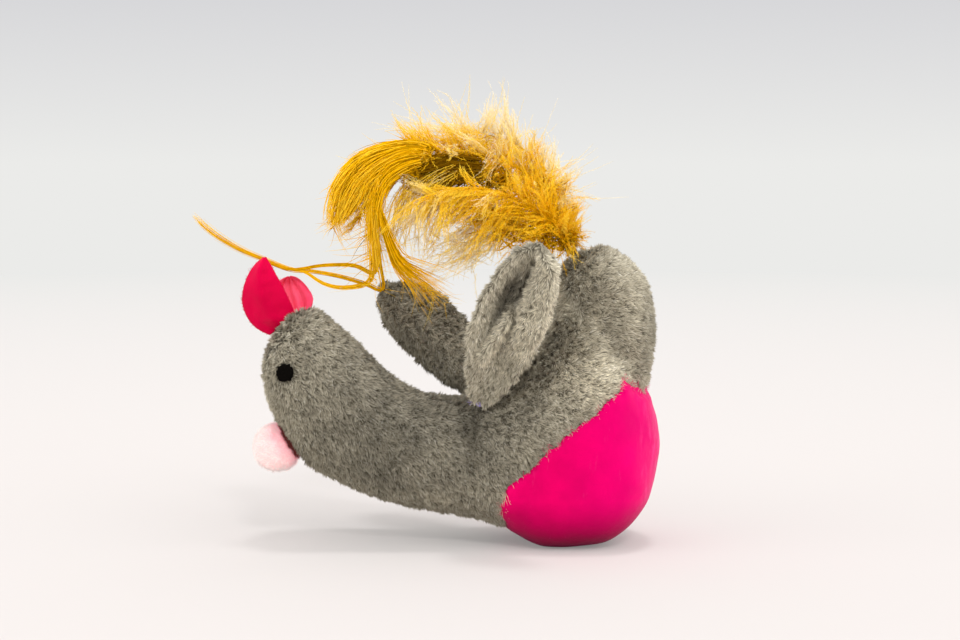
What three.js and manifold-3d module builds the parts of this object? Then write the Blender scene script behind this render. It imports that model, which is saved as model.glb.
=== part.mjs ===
// A stuffed plush bird for cats. Two plush side panels and two satin belly panels close round fibre stuffing
// and a rattle whose steel ball keeps the bird on its belly. Two wings, a crest, a pompom nose and a bunch of
// feathers are sewn on. Millimetres, +Z up, face towards -X, the bird's left side towards -Y.
import * as THREE from "three";
import { mergeVertices } from "three/addons/utils/BufferGeometryUtils.js";
import Module from "manifold-3d";

const wasm = await Module();
wasm.setup();

// Body, measured over the pile
const bodyLength = 96; // from the face to the back of the belly
const bodyHeight = 72.3; // from the floor to the top of the rump
const bodyWidth = 36; // across the belly
const restDepth = 0.5; // how far the belly is pressed flat where it stands
const skinThickness = 1.8; // cloth and pile together
const seamGap = 0.3; // between panels sewn edge to edge
const fitGap = 0.3; // between pieces that touch

// Rattle in the belly
const capsuleRadius = 12.8;
const capsuleWall = 1.1;
const rattleBallRadius = 11;
const rattlePadding = 1.4; // filling between the capsule and the skin at the back of the belly
const rattleStand = 4.2; // filling between the capsule and the skin under it

// Face
const eyeRadius = 2.1;
const eyeHeight = 0.9;
const eyeRimShare = 0.55; // height of the straight rim over the whole height
const eyeTopShare = 0.7; // radius of the rounded top over the whole radius
const eyeShoulderShare = 0.9; // height of the rounded top's edge over the whole height
const pompomRadius = 5.9;
const pompomStandShare = 0.6; // how far its middle stands off the body, over its radius

// Wings, each a plush leaf and a plush lining
const wingLength = 41.5;
const wingWidth = 18;
const wingFold = 5.2; // how far the long edges rise out of the valley
const wingLayer = 1.6; // one layer with its pile
const wingTackRadius = 1.1;
const wingSplay = THREE.MathUtils.degToRad(22); // outwards from straight up
const leftWingLean = THREE.MathUtils.degToRad(-20); // towards the face from straight up
const rightWingLean = THREE.MathUtils.degToRad(45);

// Crest of two cupped satin petals
const petalLayer = 0.9;
const frontPetalLength = 18.8;
const frontPetalWidth = 13.4;
const frontPetalLean = THREE.MathUtils.degToRad(7); // towards the face from straight up
const frontPetalSplay = THREE.MathUtils.degToRad(14); // outwards from straight up
const backPetalLength = 8.7;
const backPetalWidth = 10.4;
const backPetalLean = THREE.MathUtils.degToRad(8);
const backPetalSplay = THREE.MathUtils.degToRad(10);
const petalCup = 1.9; // how far a petal's edges rise out of its middle

// Tail of five feathers bound at the quills
const plumeReach = 57.6; // from the tail's seat forwards, for the plumes' routes
const plumeRise = 36.5; // from the tail's seat up, for the plumes' routes
const plumeOffset = 8; // sideways from the middle plume to its neighbours
const plumeThickness = 5.2;
const middlePlumeWidth = 18.5;
const nearPlumeWidth = 14.5;
const farPlumeWidth = 14.5;
const hackleThickness = 1.3;
const hackleWidth = 6.5;
const wispThickness = 1.2;
const wispWidth = 2;
const quillRadius = 0.32;
const quillPitch = 0.95; // from the middle quill to its neighbours in the binding
const bindingLength = 2.6;
const bindingWall = 0.5;
const tailTackRadius = 0.9;

// Stations from the face to the tip of the rump: the point on the back outline and the point on the belly
// outline, as shares of body length and height, then the half width as a share of body width.
const bodyStationShares = [
  [0.001, 0.568, 0.001, 0.568, 0.0],
  [0.009, 0.641, 0.008, 0.515, 0.155],
  [0.025, 0.701, 0.022, 0.449, 0.255],
  [0.052, 0.748, 0.045, 0.385, 0.325],
  [0.09, 0.781, 0.082, 0.302, 0.365],
  [0.135, 0.784, 0.132, 0.246, 0.38],
  [0.192, 0.734, 0.185, 0.209, 0.387],
  [0.252, 0.661, 0.242, 0.173, 0.386],
  [0.317, 0.578, 0.302, 0.143, 0.382],
  [0.382, 0.521, 0.365, 0.123, 0.382],
  [0.45, 0.501, 0.437, 0.106, 0.388],
  [0.522, 0.503, 0.522, 0.086, 0.41],
  [0.592, 0.533, 0.61, 0.053, 0.446],
  [0.647, 0.583, 0.7, 0.002, 0.482],
  [0.687, 0.641, 0.79, 0, 0.5],
  [0.712, 0.701, 0.874, 0.024, 0.5],
  [0.727, 0.754, 0.952, 0.116, 0.483],
  [0.735, 0.797, 0.987, 0.216, 0.456],
  [0.74, 0.834, 1.0, 0.316, 0.422],
  [0.74, 0.86, 0.992, 0.415, 0.387],
  [0.742, 0.884, 0.975, 0.515, 0.353],
  [0.745, 0.904, 0.984, 0.625, 0.35],
  [0.752, 0.924, 0.987, 0.721, 0.35],
  [0.765, 0.947, 0.98, 0.817, 0.338],
  [0.785, 0.967, 0.957, 0.897, 0.3],
  [0.812, 0.983, 0.922, 0.953, 0.222],
  [0.837, 0.995, 0.887, 0.982, 0.125],
  [0.862, 1.0, 0.862, 1.0, 0.0],
];
const lastStation = bodyStationShares.length - 1;
// Power of the oval on its belly side, along the spine: 2 is an ellipse, and more is flatter underneath.
const bellyPowerShares = [
  [0.38, 2],
  [0.48, 3.4],
  [0.56, 3.4],
  [0.66, 2],
];
const curveTension = 0.5;
const ringPoints = 20;
const poleStepShare = 0.08; // along the spine, for the direction at a pole
const slopeStepShare = 0.004; // along the spine, for the slope of the surface

// The seam between plush and satin in side view, from under the chest up to the pinch behind the rump,
// as shares of body length and height.
const bellySeamShares = [
  [0.613, -0.2],
  [0.605, 0.05],
  [0.597, 0.12],
  [0.6, 0.175],
  [0.632, 0.238],
  [0.672, 0.292],
  [0.712, 0.345],
  [0.745, 0.387],
  [0.785, 0.415],
  [0.818, 0.462],
  [0.848, 0.497],
  [0.882, 0.524],
  [0.906, 0.574],
  [0.927, 0.556],
  [0.95, 0.53],
  [0.975, 0.52],
  [1.2, 0.515],
];
const bellySeamSteps = 34;

// Where the stuffing is parted, along the spine. The rattle lies in a pocket between the belly wads.
const wadNames = ["head_stuffing", "neck_stuffing", "front_belly_stuffing", "rear_belly_stuffing", "rump_stuffing"];
const wadEndShares = [0, 0.19, 0.39, 0.578, 0.745, 1];

// Places on the body: the share along the spine, and the angle round it from the belly line
const eyePlace = { spineShare: 0.124, angle: Math.PI * 0.528 };
const pompomPlace = { spineShare: 0.13, angle: 0 };
const wingPlace = { spineShare: 0.422, angle: Math.PI * 0.82 };
const frontPetalPlace = { spineShare: 0.082, angle: Math.PI * 0.975 };
const backPetalPlace = { spineShare: 0.146, angle: Math.PI * 1.04 };
const tailPlace = { spineShare: 0.886, angle: Math.PI };

// Half widths along a leaf from its root to its tip, as shares of half the width
const wingOutlineShares = [
  [0, 0.15],
  [0.08, 0.4],
  [0.22, 0.76],
  [0.42, 1],
  [0.62, 0.98],
  [0.8, 0.74],
  [0.92, 0.46],
  [1, 0.1],
];
const frontPetalOutlineShares = [
  [0, 0.34],
  [0.15, 0.72],
  [0.38, 1],
  [0.6, 0.84],
  [0.8, 0.5],
  [1, 0.07],
];
const backPetalOutlineShares = [
  [0, 0.4],
  [0.2, 0.75],
  [0.5, 1],
  [0.75, 0.9],
  [0.92, 0.55],
  [1, 0.15],
];

// Half widths along a feather from the quill's foot to the tip, as shares of half its width
const plumeFormShares = [
  [0, 0],
  [0.12, 0],
  [0.26, 0.6],
  [0.42, 1],
  [0.62, 0.95],
  [0.82, 0.68],
  [1, 0.12],
];
const hackleFormShares = [
  [0, 0],
  [0.15, 0.15],
  [0.45, 0.45],
  [0.6, 0.55],
  [0.8, 1],
  [0.92, 0.85],
  [1, 0.15],
];
const wispFormShares = [
  [0, 0],
  [0.15, 0.4],
  [0.5, 0.7],
  [0.75, 1],
  [0.95, 0.8],
  [1, 0.3],
];

const fanShare = 0.12; // of a feather's length, over which it leaves its quill's line sideways

// Facets of the round and the leafy pieces
const ballSegments = 20;
const pompomSegments = 22;
const tackSegments = 10;
const turnedSegments = 16;
const ballRowShare = 0.6; // rows from pole to pole over segments round the middle
const leafSteps = 12;
const leafStrips = 6;
const leafSlopeStep = 0.01; // along and across a leaf, for the slope of its surface
const featherSides = 8;

// Routes from the tail's seat on the rump in side view, as shares of the plumes' reach and rise
const middlePlumeRouteShares = [
  [-0.05, 0.23],
  [-0.117, 0.408],
  [-0.229, 0.559],
  [-0.367, 0.645],
  [-0.504, 0.658],
  [-0.637, 0.592],
  [-0.754, 0.487],
  [-0.854, 0.342],
  [-0.921, 0.171],
];
const nearPlumeRouteShares = [
  [-0.0625, 0.158],
  [-0.1375, 0.276],
  [-0.254, 0.375],
  [-0.3875, 0.434],
  [-0.504, 0.434],
  [-0.604, 0.382],
];
const farPlumeRouteShares = [
  [-0.05, 0.24],
  [-0.075, 0.43],
  [-0.14, 0.6],
  [-0.25, 0.72],
  [-0.385, 0.79],
  [-0.51, 0.8],
];
const hackleRouteShares = [
  [-0.046, 0.25],
  [-0.117, 0.447],
  [-0.242, 0.592],
  [-0.396, 0.671],
  [-0.554, 0.658],
  [-0.679, 0.559],
  [-0.7375, 0.395],
  [-0.746, 0.197],
  [-0.704, -0.013],
  [-0.621, -0.224],
  [-0.542, -0.382],
];
const wispRouteShares = [
  [-0.033, 0.263],
  [-0.104, 0.487],
  [-0.242, 0.645],
  [-0.408, 0.724],
  [-0.5875, 0.704],
  [-0.729, 0.605],
  [-0.804, 0.408],
  [-0.821, 0.184],
  [-0.846, -0.013],
  [-0.929, -0.115],
  [-1.0625, -0.125],
  [-1.2, -0.088],
  [-1.3375, -0.035],
  [-1.446, 0.013],
  [-1.529, 0.118],
  [-1.592, 0.237],
];

const plush = { color: 0x958f7f, roughness: 0.95, metalness: 0 };
const wingPlush = { color: 0x95907e, roughness: 0.95, metalness: 0 };
const satin = { color: 0xf00267, roughness: 0.45, metalness: 0 };
const crestSatin = { color: 0xe60347, roughness: 0.5, metalness: 0 };
const fibre = { color: 0xf2efe8, roughness: 1, metalness: 0 };
const capsulePlastic = { color: 0xe9e6dc, roughness: 0.4, metalness: 0 };
const ballSteel = { color: 0xb9bcc0, roughness: 0.25, metalness: 1 };
const eyeFelt = { color: 0x0e0b07, roughness: 0.9, metalness: 0 };
const pompomYarn = { color: 0xf8c8ca, roughness: 1, metalness: 0 };
const feather = { color: 0xe7a50d, roughness: 0.8, metalness: 0 };
const down = { color: 0xe0af39, roughness: 0.9, metalness: 0 };
const violetThread = { color: 0x8a78b4, roughness: 0.8, metalness: 0 };
const brownThread = { color: 0x7a4a1c, roughness: 0.8, metalness: 0 };

const weldShare = 1e-6;
const cutterShare = 3;
const weldDistance = bodyLength * weldShare;
const cutterSize = cutterShare * (bodyLength + bodyHeight);
const bird = new THREE.Group();

// Turns a closed geometry into a solid that can be joined and cut.
function solidFrom(geometry) {
  const bare = geometry.clone();
  bare.deleteAttribute("normal");
  bare.deleteAttribute("uv");
  const merged = mergeVertices(bare, weldDistance);
  return new wasm.Manifold(
    new wasm.Mesh({
      numProp: 3,
      vertProperties: new Float32Array(merged.attributes.position.array),
      triVerts: new Uint32Array(merged.index.array),
    }),
  );
}

// A cut can leave a sliver beside the piece, so only the largest body is kept.
function largestBody(solid) {
  return solid.decompose().reduce((best, body) => (body.volume() > best.volume() ? body : best));
}

function addPiece(name, solid, look) {
  const mesh = largestBody(solid).getMesh();
  const geometry = new THREE.BufferGeometry();
  geometry.setAttribute("position", new THREE.BufferAttribute(new Float32Array(mesh.vertProperties), 3));
  geometry.setIndex(new THREE.BufferAttribute(new Uint32Array(mesh.triVerts), 1));
  geometry.computeVertexNormals();
  const piece = new THREE.Mesh(geometry, new THREE.MeshStandardMaterial(look));
  piece.name = name;
  bird.add(piece);
  return piece;
}

// A closed skin over rows of rings. A row of one point is a pole, and any other end row gets a flat cap.
function skinOverRows(rows) {
  const positions = [];
  const faces = [];
  const starts = rows.map((row) => {
    const start = positions.length / 3;
    row.forEach((p) => positions.push(p.x, p.y, p.z));
    return start;
  });
  for (let r = 0; r + 1 < rows.length; r += 1) {
    const here = rows[r];
    const next = rows[r + 1];
    const count = Math.max(here.length, next.length);
    for (let k = 0; k < count; k += 1) {
      const a = starts[r] + (k % here.length);
      const b = starts[r] + ((k + 1) % here.length);
      const c = starts[r + 1] + (k % next.length);
      const d = starts[r + 1] + ((k + 1) % next.length);
      if (here.length > 1) faces.push(a, d, b);
      if (next.length > 1) faces.push(a, c, d);
    }
  }
  const capEnd = (row, start, outwards) => {
    if (row.length === 1) return;
    const middle = new THREE.Vector3();
    row.forEach((p) => middle.addScaledVector(p, 1 / row.length));
    const centre = positions.length / 3;
    positions.push(middle.x, middle.y, middle.z);
    row.forEach((_, k) => {
      const a = start + k;
      const b = start + ((k + 1) % row.length);
      if (outwards) faces.push(centre, b, a);
      else faces.push(centre, a, b);
    });
  };
  capEnd(rows[0], starts[0], false);
  capEnd(rows[rows.length - 1], starts[rows.length - 1], true);
  const geometry = new THREE.BufferGeometry();
  geometry.setAttribute("position", new THREE.Float32BufferAttribute(positions, 3));
  geometry.setIndex(faces);
  return geometry;
}

// Reads a value between the pairs of a table of shares. Past its ends it keeps the end's value.
function shareAt(table, s) {
  const next = table.findIndex(([at]) => at >= s);
  if (next < 0) return table[table.length - 1][1];
  if (next === 0) return table[0][1];
  const [s0, v0] = table[next - 1];
  const [s1, v1] = table[next];
  return THREE.MathUtils.lerp(v0, v1, THREE.MathUtils.smoothstep(s, s0, s1));
}

// The body: an oval at every station, from its point on the back outline to its point on the belly outline
const stationCurve = (pick) => new THREE.CatmullRomCurve3(bodyStationShares.map(pick), false, "catmullrom", curveTension);
const backOutline = stationCurve(([x, z]) => new THREE.Vector3(x * bodyLength, 0, z * bodyHeight - restDepth));
const bellyOutline = stationCurve(([, , x, z]) => new THREE.Vector3(x * bodyLength, 0, z * bodyHeight - restDepth));
const halfWidths = stationCurve(([, , , , w]) => new THREE.Vector3(w * bodyWidth, 0, 0));

function bodySection(t) {
  const back = backOutline.getPoint(t);
  const belly = bellyOutline.getPoint(t);
  return {
    centre: back.clone().add(belly).multiplyScalar(0.5),
    toBelly: belly.clone().sub(back).multiplyScalar(0.5),
    halfWidth: halfWidths.getPoint(t).x,
  };
}

// The angle goes round the oval from the belly line over the bird's left side to the back.
function bodyPoint(t, angle) {
  const { centre, toBelly, halfWidth } = bodySection(t);
  const power = Math.cos(angle) > 0 ? shareAt(bellyPowerShares, t) : 2;
  const rounded = (value) => Math.sign(value) * Math.abs(value) ** (2 / power);
  return centre
    .addScaledVector(toBelly, rounded(Math.cos(angle)))
    .add(new THREE.Vector3(0, -halfWidth * rounded(Math.sin(angle)), 0));
}

function bodyNormal(t, angle) {
  const inward = bodySection(THREE.MathUtils.clamp(t, poleStepShare, 1 - poleStepShare)).centre;
  if (t === 0 || t === 1) return bodyPoint(t, 0).sub(inward).normalize();
  const step = slopeStepShare;
  const along = bodyPoint(Math.min(t + step, 1), angle).sub(bodyPoint(Math.max(t - step, 0), angle));
  const round = bodyPoint(t, angle + step).sub(bodyPoint(t, angle - step));
  return along.cross(round).normalize();
}

// The body's whole outer form, moved out by a distance all over, or in where it is negative
function bodyForm(offset) {
  const rows = bodyStationShares.map((_, station) => {
    const t = station / lastStation;
    const isPole = station === 0 || station === lastStation;
    const count = isPole ? 1 : ringPoints;
    return Array.from({ length: count }, (__, k) => {
      const angle = (2 * Math.PI * k) / count;
      return bodyPoint(t, angle).addScaledVector(bodyNormal(t, angle), offset);
    });
  });
  return solidFrom(skinOverRows(rows));
}

// A great block whose flat side lies at a point, with all of it on the side that the direction shows
function blockBeyond(point, direction) {
  const geometry = new THREE.BoxGeometry(cutterSize, cutterSize, cutterSize);
  geometry.translate(0, 0, cutterSize / 2);
  geometry.applyQuaternion(new THREE.Quaternion().setFromUnitVectors(new THREE.Vector3(0, 0, 1), direction));
  geometry.translate(point.x, point.y, point.z);
  return solidFrom(geometry);
}

const up = new THREE.Vector3(0, 0, 1);
const floor = new THREE.Vector3(0, 0, 0);
const leftwards = new THREE.Vector3(0, -1, 0);
const rightwards = new THREE.Vector3(0, 1, 0);
const aboveFloor = blockBeyond(floor, up);
const outerForm = bodyForm(0).intersect(aboveFloor);
const innerForm = bodyForm(-skinThickness);
const stuffingForm = bodyForm(-skinThickness - fitGap);
const clearForm = bodyForm(fitGap);

// Satin side of the belly seam, moved towards the satin or away from it by the shift
function bellyPrism(shift) {
  const seam = new THREE.SplineCurve(
    bellySeamShares.map(([x, z]) => new THREE.Vector2(x * bodyLength, z * bodyHeight - restDepth)),
  );
  const points = [];
  for (let i = 0; i <= bellySeamSteps; i += 1) {
    const along = seam.getTangent(i / bellySeamSteps);
    const towardsSatin = new THREE.Vector2(along.y, -along.x);
    points.push(seam.getPoint(i / bellySeamSteps).addScaledVector(towardsSatin, shift));
  }
  const first = points[0];
  const last = points[points.length - 1];
  points.push(new THREE.Vector2(last.x, first.y));
  const geometry = new THREE.ExtrudeGeometry(new THREE.Shape(points), { depth: 2 * bodyWidth, bevelEnabled: false });
  geometry.rotateX(Math.PI / 2);
  geometry.translate(0, bodyWidth, 0);
  return solidFrom(geometry);
}

function makeSkin() {
  const skin = outerForm.subtract(innerForm);
  const plushSkin = skin.subtract(bellyPrism(-seamGap / 2));
  const satinSkin = skin.intersect(bellyPrism(seamGap / 2));
  const sides = [
    ["left", leftwards],
    ["right", rightwards],
  ];
  for (const [side, direction] of sides) {
    const half = blockBeyond(direction.clone().multiplyScalar(seamGap / 2), direction);
    addPiece(`${side}_body_panel`, plushSkin.intersect(half), plush);
    addPiece(`${side}_belly_panel`, satinSkin.intersect(half), satin);
  }
}

// The plane across the body at a parting: a point on it and its direction towards the rump
function partingPlane(share) {
  const { centre, toBelly } = bodySection(share);
  const onwards = new THREE.Vector3(-toBelly.z, 0, toBelly.x).normalize();
  return { centre, onwards };
}

const rattleCentre = new THREE.Vector3(
  bodyLength - skinThickness - rattlePadding - capsuleRadius,
  0,
  skinThickness + rattleStand + capsuleRadius,
);

function ballForm(radius, centre, segments) {
  const geometry = new THREE.SphereGeometry(radius, segments, Math.round(segments * ballRowShare));
  geometry.rotateX(Math.PI / 2);
  geometry.translate(centre.x, centre.y, centre.z);
  return solidFrom(geometry);
}

function makeStuffing() {
  const pocket = ballForm(capsuleRadius + fitGap, rattleCentre, ballSegments);
  wadNames.forEach((name, k) => {
    let wad = stuffingForm.intersect(blockBeyond(floor.clone().setZ(skinThickness + fitGap), up));
    if (k > 0) {
      const { centre, onwards } = partingPlane(wadEndShares[k]);
      wad = wad.intersect(blockBeyond(centre.addScaledVector(onwards, fitGap / 2), onwards));
    }
    if (k + 1 < wadNames.length) {
      const { centre, onwards } = partingPlane(wadEndShares[k + 1]);
      const backwards = onwards.clone().negate();
      wad = wad.intersect(blockBeyond(centre.addScaledVector(backwards, fitGap / 2), backwards));
    }
    addPiece(name, wad.subtract(pocket), fibre);
  });
}

function makeRattle() {
  const shell = ballForm(capsuleRadius, rattleCentre, ballSegments).subtract(
    ballForm(capsuleRadius - capsuleWall, rattleCentre, ballSegments),
  );
  const down = up.clone().negate();
  const above = blockBeyond(rattleCentre.clone().addScaledVector(up, fitGap / 2), up);
  const below = blockBeyond(rattleCentre.clone().addScaledVector(down, fitGap / 2), down);
  addPiece("rattle_upper_shell", shell.intersect(above), capsulePlastic);
  addPiece("rattle_lower_shell", shell.intersect(below), capsulePlastic);
  const slack = capsuleRadius - capsuleWall - rattleBallRadius - fitGap;
  const ballCentre = rattleCentre.clone().addScaledVector(down, slack);
  addPiece("rattle_ball", ballForm(rattleBallRadius, ballCentre, ballSegments), ballSteel);
}

function placeOn(place, side) {
  const angle = side * place.angle;
  return {
    point: bodyPoint(place.spineShare, angle),
    normal: bodyNormal(place.spineShare, angle),
  };
}

function makeEyes() {
  for (const [name, side] of [["left_eye", 1], ["right_eye", -1]]) {
    const { point, normal } = placeOn(eyePlace, side);
    const sunk = eyeHeight; // the back reaches below the pile before it is cut to the body's curve
    const profile = [
      new THREE.Vector2(0, -sunk),
      new THREE.Vector2(eyeRadius, -sunk),
      new THREE.Vector2(eyeRadius, fitGap + eyeHeight * eyeRimShare),
      new THREE.Vector2(eyeRadius * eyeTopShare, fitGap + eyeHeight * eyeShoulderShare),
      new THREE.Vector2(0, fitGap + eyeHeight),
    ];
    const geometry = new THREE.LatheGeometry(profile, turnedSegments);
    geometry.applyQuaternion(new THREE.Quaternion().setFromUnitVectors(new THREE.Vector3(0, 1, 0), normal));
    geometry.translate(point.x, point.y, point.z);
    addPiece(name, solidFrom(geometry).subtract(clearForm), eyeFelt);
  }
}

function makePompom() {
  const { point, normal } = placeOn(pompomPlace, 1);
  const centre = point.addScaledVector(normal, pompomRadius * pompomStandShare);
  addPiece("nose_pompom", ballForm(pompomRadius, centre, pompomSegments).subtract(clearForm), pompomYarn);
}

// One sheet of a leaf that starts at the origin and runs along +X, with its edges rising towards +Z.
// The level is the sheet's height over the leaf's middle surface.
function leafSheet({ length, width, rise, outlineShares, start, level, thickness }) {
  const surface = (s, v) => {
    const share = shareAt(outlineShares, s);
    return new THREE.Vector3(start + s * length, (v * share * width) / 2, rise * v * v * share);
  };
  const pointAt = (s, v, height) => {
    const d = leafSlopeStep;
    const along = surface(Math.min(s + d, 1), v).sub(surface(Math.max(s - d, 0), v));
    const across = surface(s, v + d).sub(surface(s, v - d));
    return surface(s, v).addScaledVector(along.cross(across).normalize(), height);
  };
  const rows = [];
  for (let i = 0; i <= leafSteps; i += 1) {
    const row = [];
    for (let j = 0; j <= leafStrips; j += 1) {
      row.push(pointAt(i / leafSteps, (2 * j) / leafStrips - 1, level - thickness / 2));
    }
    for (let j = leafStrips; j >= 0; j -= 1) {
      row.push(pointAt(i / leafSteps, (2 * j) / leafStrips - 1, level + thickness / 2));
    }
    rows.push(row.reverse());
  }
  return skinOverRows(rows);
}

// Moves a leaf so that it starts at a point, runs along a direction and has its edges rise outwards.
function placeLeaf(geometry, point, direction, outwards) {
  const face = outwards.clone().addScaledVector(direction, -outwards.dot(direction)).normalize();
  const across = face.clone().cross(direction);
  geometry.applyMatrix4(new THREE.Matrix4().makeBasis(direction, across, face));
  return geometry.translate(point.x, point.y, point.z);
}

// A direction in side view, measured from straight up towards the face, then splayed out to one side
function leaning(towardsFace, splay, outwards) {
  const inSideView = new THREE.Vector3(-Math.sin(towardsFace), 0, Math.cos(towardsFace));
  return inSideView.multiplyScalar(Math.cos(splay)).addScaledVector(outwards, Math.sin(splay));
}

const wings = [
  { side: "left", sign: 1, outwards: leftwards, lean: leftWingLean },
  { side: "right", sign: -1, outwards: rightwards, lean: rightWingLean },
];

function makeWings() {
  for (const { side, sign, outwards, lean } of wings) {
    const { point, normal } = placeOn(wingPlace, sign);
    const pivot = point.addScaledVector(normal, wingTackRadius + fitGap);
    const direction = leaning(lean, wingSplay, outwards);
    const leaf = {
      length: wingLength,
      width: wingWidth,
      rise: wingFold,
      outlineShares: wingOutlineShares,
      start: wingTackRadius + fitGap,
      thickness: wingLayer,
    };
    const halfStep = (wingLayer + seamGap) / 2;
    const outer = placeLeaf(leafSheet({ ...leaf, level: halfStep }), pivot, direction, outwards);
    const lining = placeLeaf(leafSheet({ ...leaf, level: -halfStep }), pivot, direction, outwards);
    addPiece(`${side}_wing_front`, solidFrom(outer), wingPlush);
    addPiece(`${side}_wing_back`, solidFrom(lining), wingPlush);
    addPiece(`${side}_wing_tack`, ballForm(wingTackRadius, pivot, tackSegments), violetThread);
  }
}

function makeCrest() {
  const petals = [
    {
      name: "crest_front_petal",
      place: frontPetalPlace,
      length: frontPetalLength,
      width: frontPetalWidth,
      outlineShares: frontPetalOutlineShares,
      lean: frontPetalLean,
      splay: frontPetalSplay,
      outwards: leftwards,
    },
    {
      name: "crest_back_petal",
      place: backPetalPlace,
      length: backPetalLength,
      width: backPetalWidth,
      outlineShares: backPetalOutlineShares,
      lean: backPetalLean,
      splay: backPetalSplay,
      outwards: rightwards,
    },
  ];
  for (const { name, place, length, width, outlineShares, lean, splay, outwards } of petals) {
    const { point } = placeOn(place, 1);
    const sheet = leafSheet({
      length,
      width,
      rise: petalCup,
      outlineShares,
      start: -petalLayer,
      level: 0,
      thickness: petalLayer,
    });
    const leaf = placeLeaf(sheet, point, leaning(lean, splay, outwards), outwards);
    addPiece(name, solidFrom(leaf).subtract(clearForm), crestSatin);
  }
}

const tailSeat = placeOn(tailPlace, 1);
const tailPivot = tailSeat.point.clone().addScaledVector(tailSeat.normal, tailTackRadius + fitGap);
const quillFoot = tailPivot.clone().addScaledVector(tailSeat.normal, tailTackRadius + fitGap);
const bindingTop = quillFoot.clone().addScaledVector(tailSeat.normal, bindingLength);
const bindingBore = quillPitch + quillRadius + fitGap;

// A feather: a flat oval section swept along its route, which leaves the binding straight and then fans out.
function makeFeather({ name, routeShares, formShares, width, thickness, sideways, quillX, quillY, steps, look }) {
  const inPlane = new THREE.Vector3(tailSeat.normal.z, 0, -tailSeat.normal.x);
  const shift = inPlane.multiplyScalar(quillX * quillPitch);
  const points = [quillFoot.clone().add(shift), bindingTop.clone().add(shift)];
  routeShares.forEach(([x, z]) => {
    points.push(tailSeat.point.clone().add(new THREE.Vector3(x * plumeReach, 0, z * plumeRise)));
  });
  const route = new THREE.CatmullRomCurve3(points);
  const fanStart = bindingLength / route.getLength();
  const stops = Array.from({ length: steps + 1 }, (_, i) => THREE.MathUtils.lerp(fanStart, 1, i / steps));
  const rows = [];
  for (const s of [0, ...stops]) {
    const fan = THREE.MathUtils.smoothstep(s, fanStart, fanStart + fanShare);
    const y = THREE.MathUtils.lerp(quillY * quillPitch, sideways, fan);
    const centre = route.getPointAt(s).setY(y);
    const tangent = route.getTangentAt(s);
    const acrossway = new THREE.Vector3(tangent.z, 0, -tangent.x).normalize();
    const form = shareAt(formShares, s);
    const halfWidth = quillRadius + (form * width) / 2;
    const halfThickness = quillRadius + Math.sqrt(form) * (thickness / 2 - quillRadius);
    rows.push(
      Array.from({ length: featherSides }, (_, k) => {
        const angle = (2 * Math.PI * k) / featherSides;
        return centre
          .clone()
          .addScaledVector(acrossway, halfWidth * Math.cos(angle))
          .add(new THREE.Vector3(0, -halfThickness * Math.sin(angle), 0));
      }),
    );
  }
  addPiece(name, solidFrom(skinOverRows(rows)), look);
}

function makeTail() {
  addPiece("tail_tack", ballForm(tailTackRadius, tailPivot, tackSegments), brownThread);
  const profile = [
    new THREE.Vector2(bindingBore, 0),
    new THREE.Vector2(bindingBore + bindingWall, 0),
    new THREE.Vector2(bindingBore + bindingWall, bindingLength),
    new THREE.Vector2(bindingBore, bindingLength),
    new THREE.Vector2(bindingBore, 0),
  ];
  const binding = new THREE.LatheGeometry(profile, turnedSegments);
  binding.applyQuaternion(new THREE.Quaternion().setFromUnitVectors(new THREE.Vector3(0, 1, 0), tailSeat.normal));
  binding.translate(quillFoot.x, quillFoot.y, quillFoot.z);
  addPiece("tail_binding", solidFrom(binding), brownThread);
  const feathers = [
    {
      name: "tail_middle_plume",
      routeShares: middlePlumeRouteShares,
      formShares: plumeFormShares,
      width: middlePlumeWidth,
      thickness: plumeThickness,
      sideways: 0,
      quillX: 0,
      quillY: 0,
      steps: 20,
      look: down,
    },
    {
      name: "tail_near_plume",
      routeShares: nearPlumeRouteShares,
      formShares: plumeFormShares,
      width: nearPlumeWidth,
      thickness: plumeThickness,
      sideways: -plumeOffset,
      quillX: 0,
      quillY: -1,
      steps: 14,
      look: down,
    },
    {
      name: "tail_far_plume",
      routeShares: farPlumeRouteShares,
      formShares: plumeFormShares,
      width: farPlumeWidth,
      thickness: plumeThickness,
      sideways: plumeOffset,
      quillX: 0,
      quillY: 1,
      steps: 14,
      look: down,
    },
    {
      name: "tail_hackle",
      routeShares: hackleRouteShares,
      formShares: hackleFormShares,
      width: hackleWidth,
      thickness: hackleThickness,
      sideways: -plumeOffset / 2,
      quillX: -1,
      quillY: 0,
      steps: 26,
      look: feather,
    },
    {
      name: "tail_long_wisp",
      routeShares: wispRouteShares,
      formShares: wispFormShares,
      width: wispWidth,
      thickness: wispThickness,
      sideways: plumeOffset / 2,
      quillX: 1,
      quillY: 0,
      steps: 34,
      look: feather,
    },
  ];
  feathers.forEach(makeFeather);
}

makeSkin();
makeStuffing();
makeRattle();
makeEyes();
makePompom();
makeWings();
makeCrest();
makeTail();

// The origin is on the floor, under the middle of the whole bird.
const bounds = new THREE.Box3().setFromObject(bird);
bird.position.x = -(bounds.min.x + bounds.max.x) / 2;

export default bird;
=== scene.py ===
# A stuffed plush bird for cats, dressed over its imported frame: cloth and pile, satin, felt, yarn, feathers
# and thread. Metres, +Z up, the face towards -X, the bird's left side towards -Y.
import math
import bmesh
import bpy
import numpy as np
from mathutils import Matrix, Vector, noise


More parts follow.
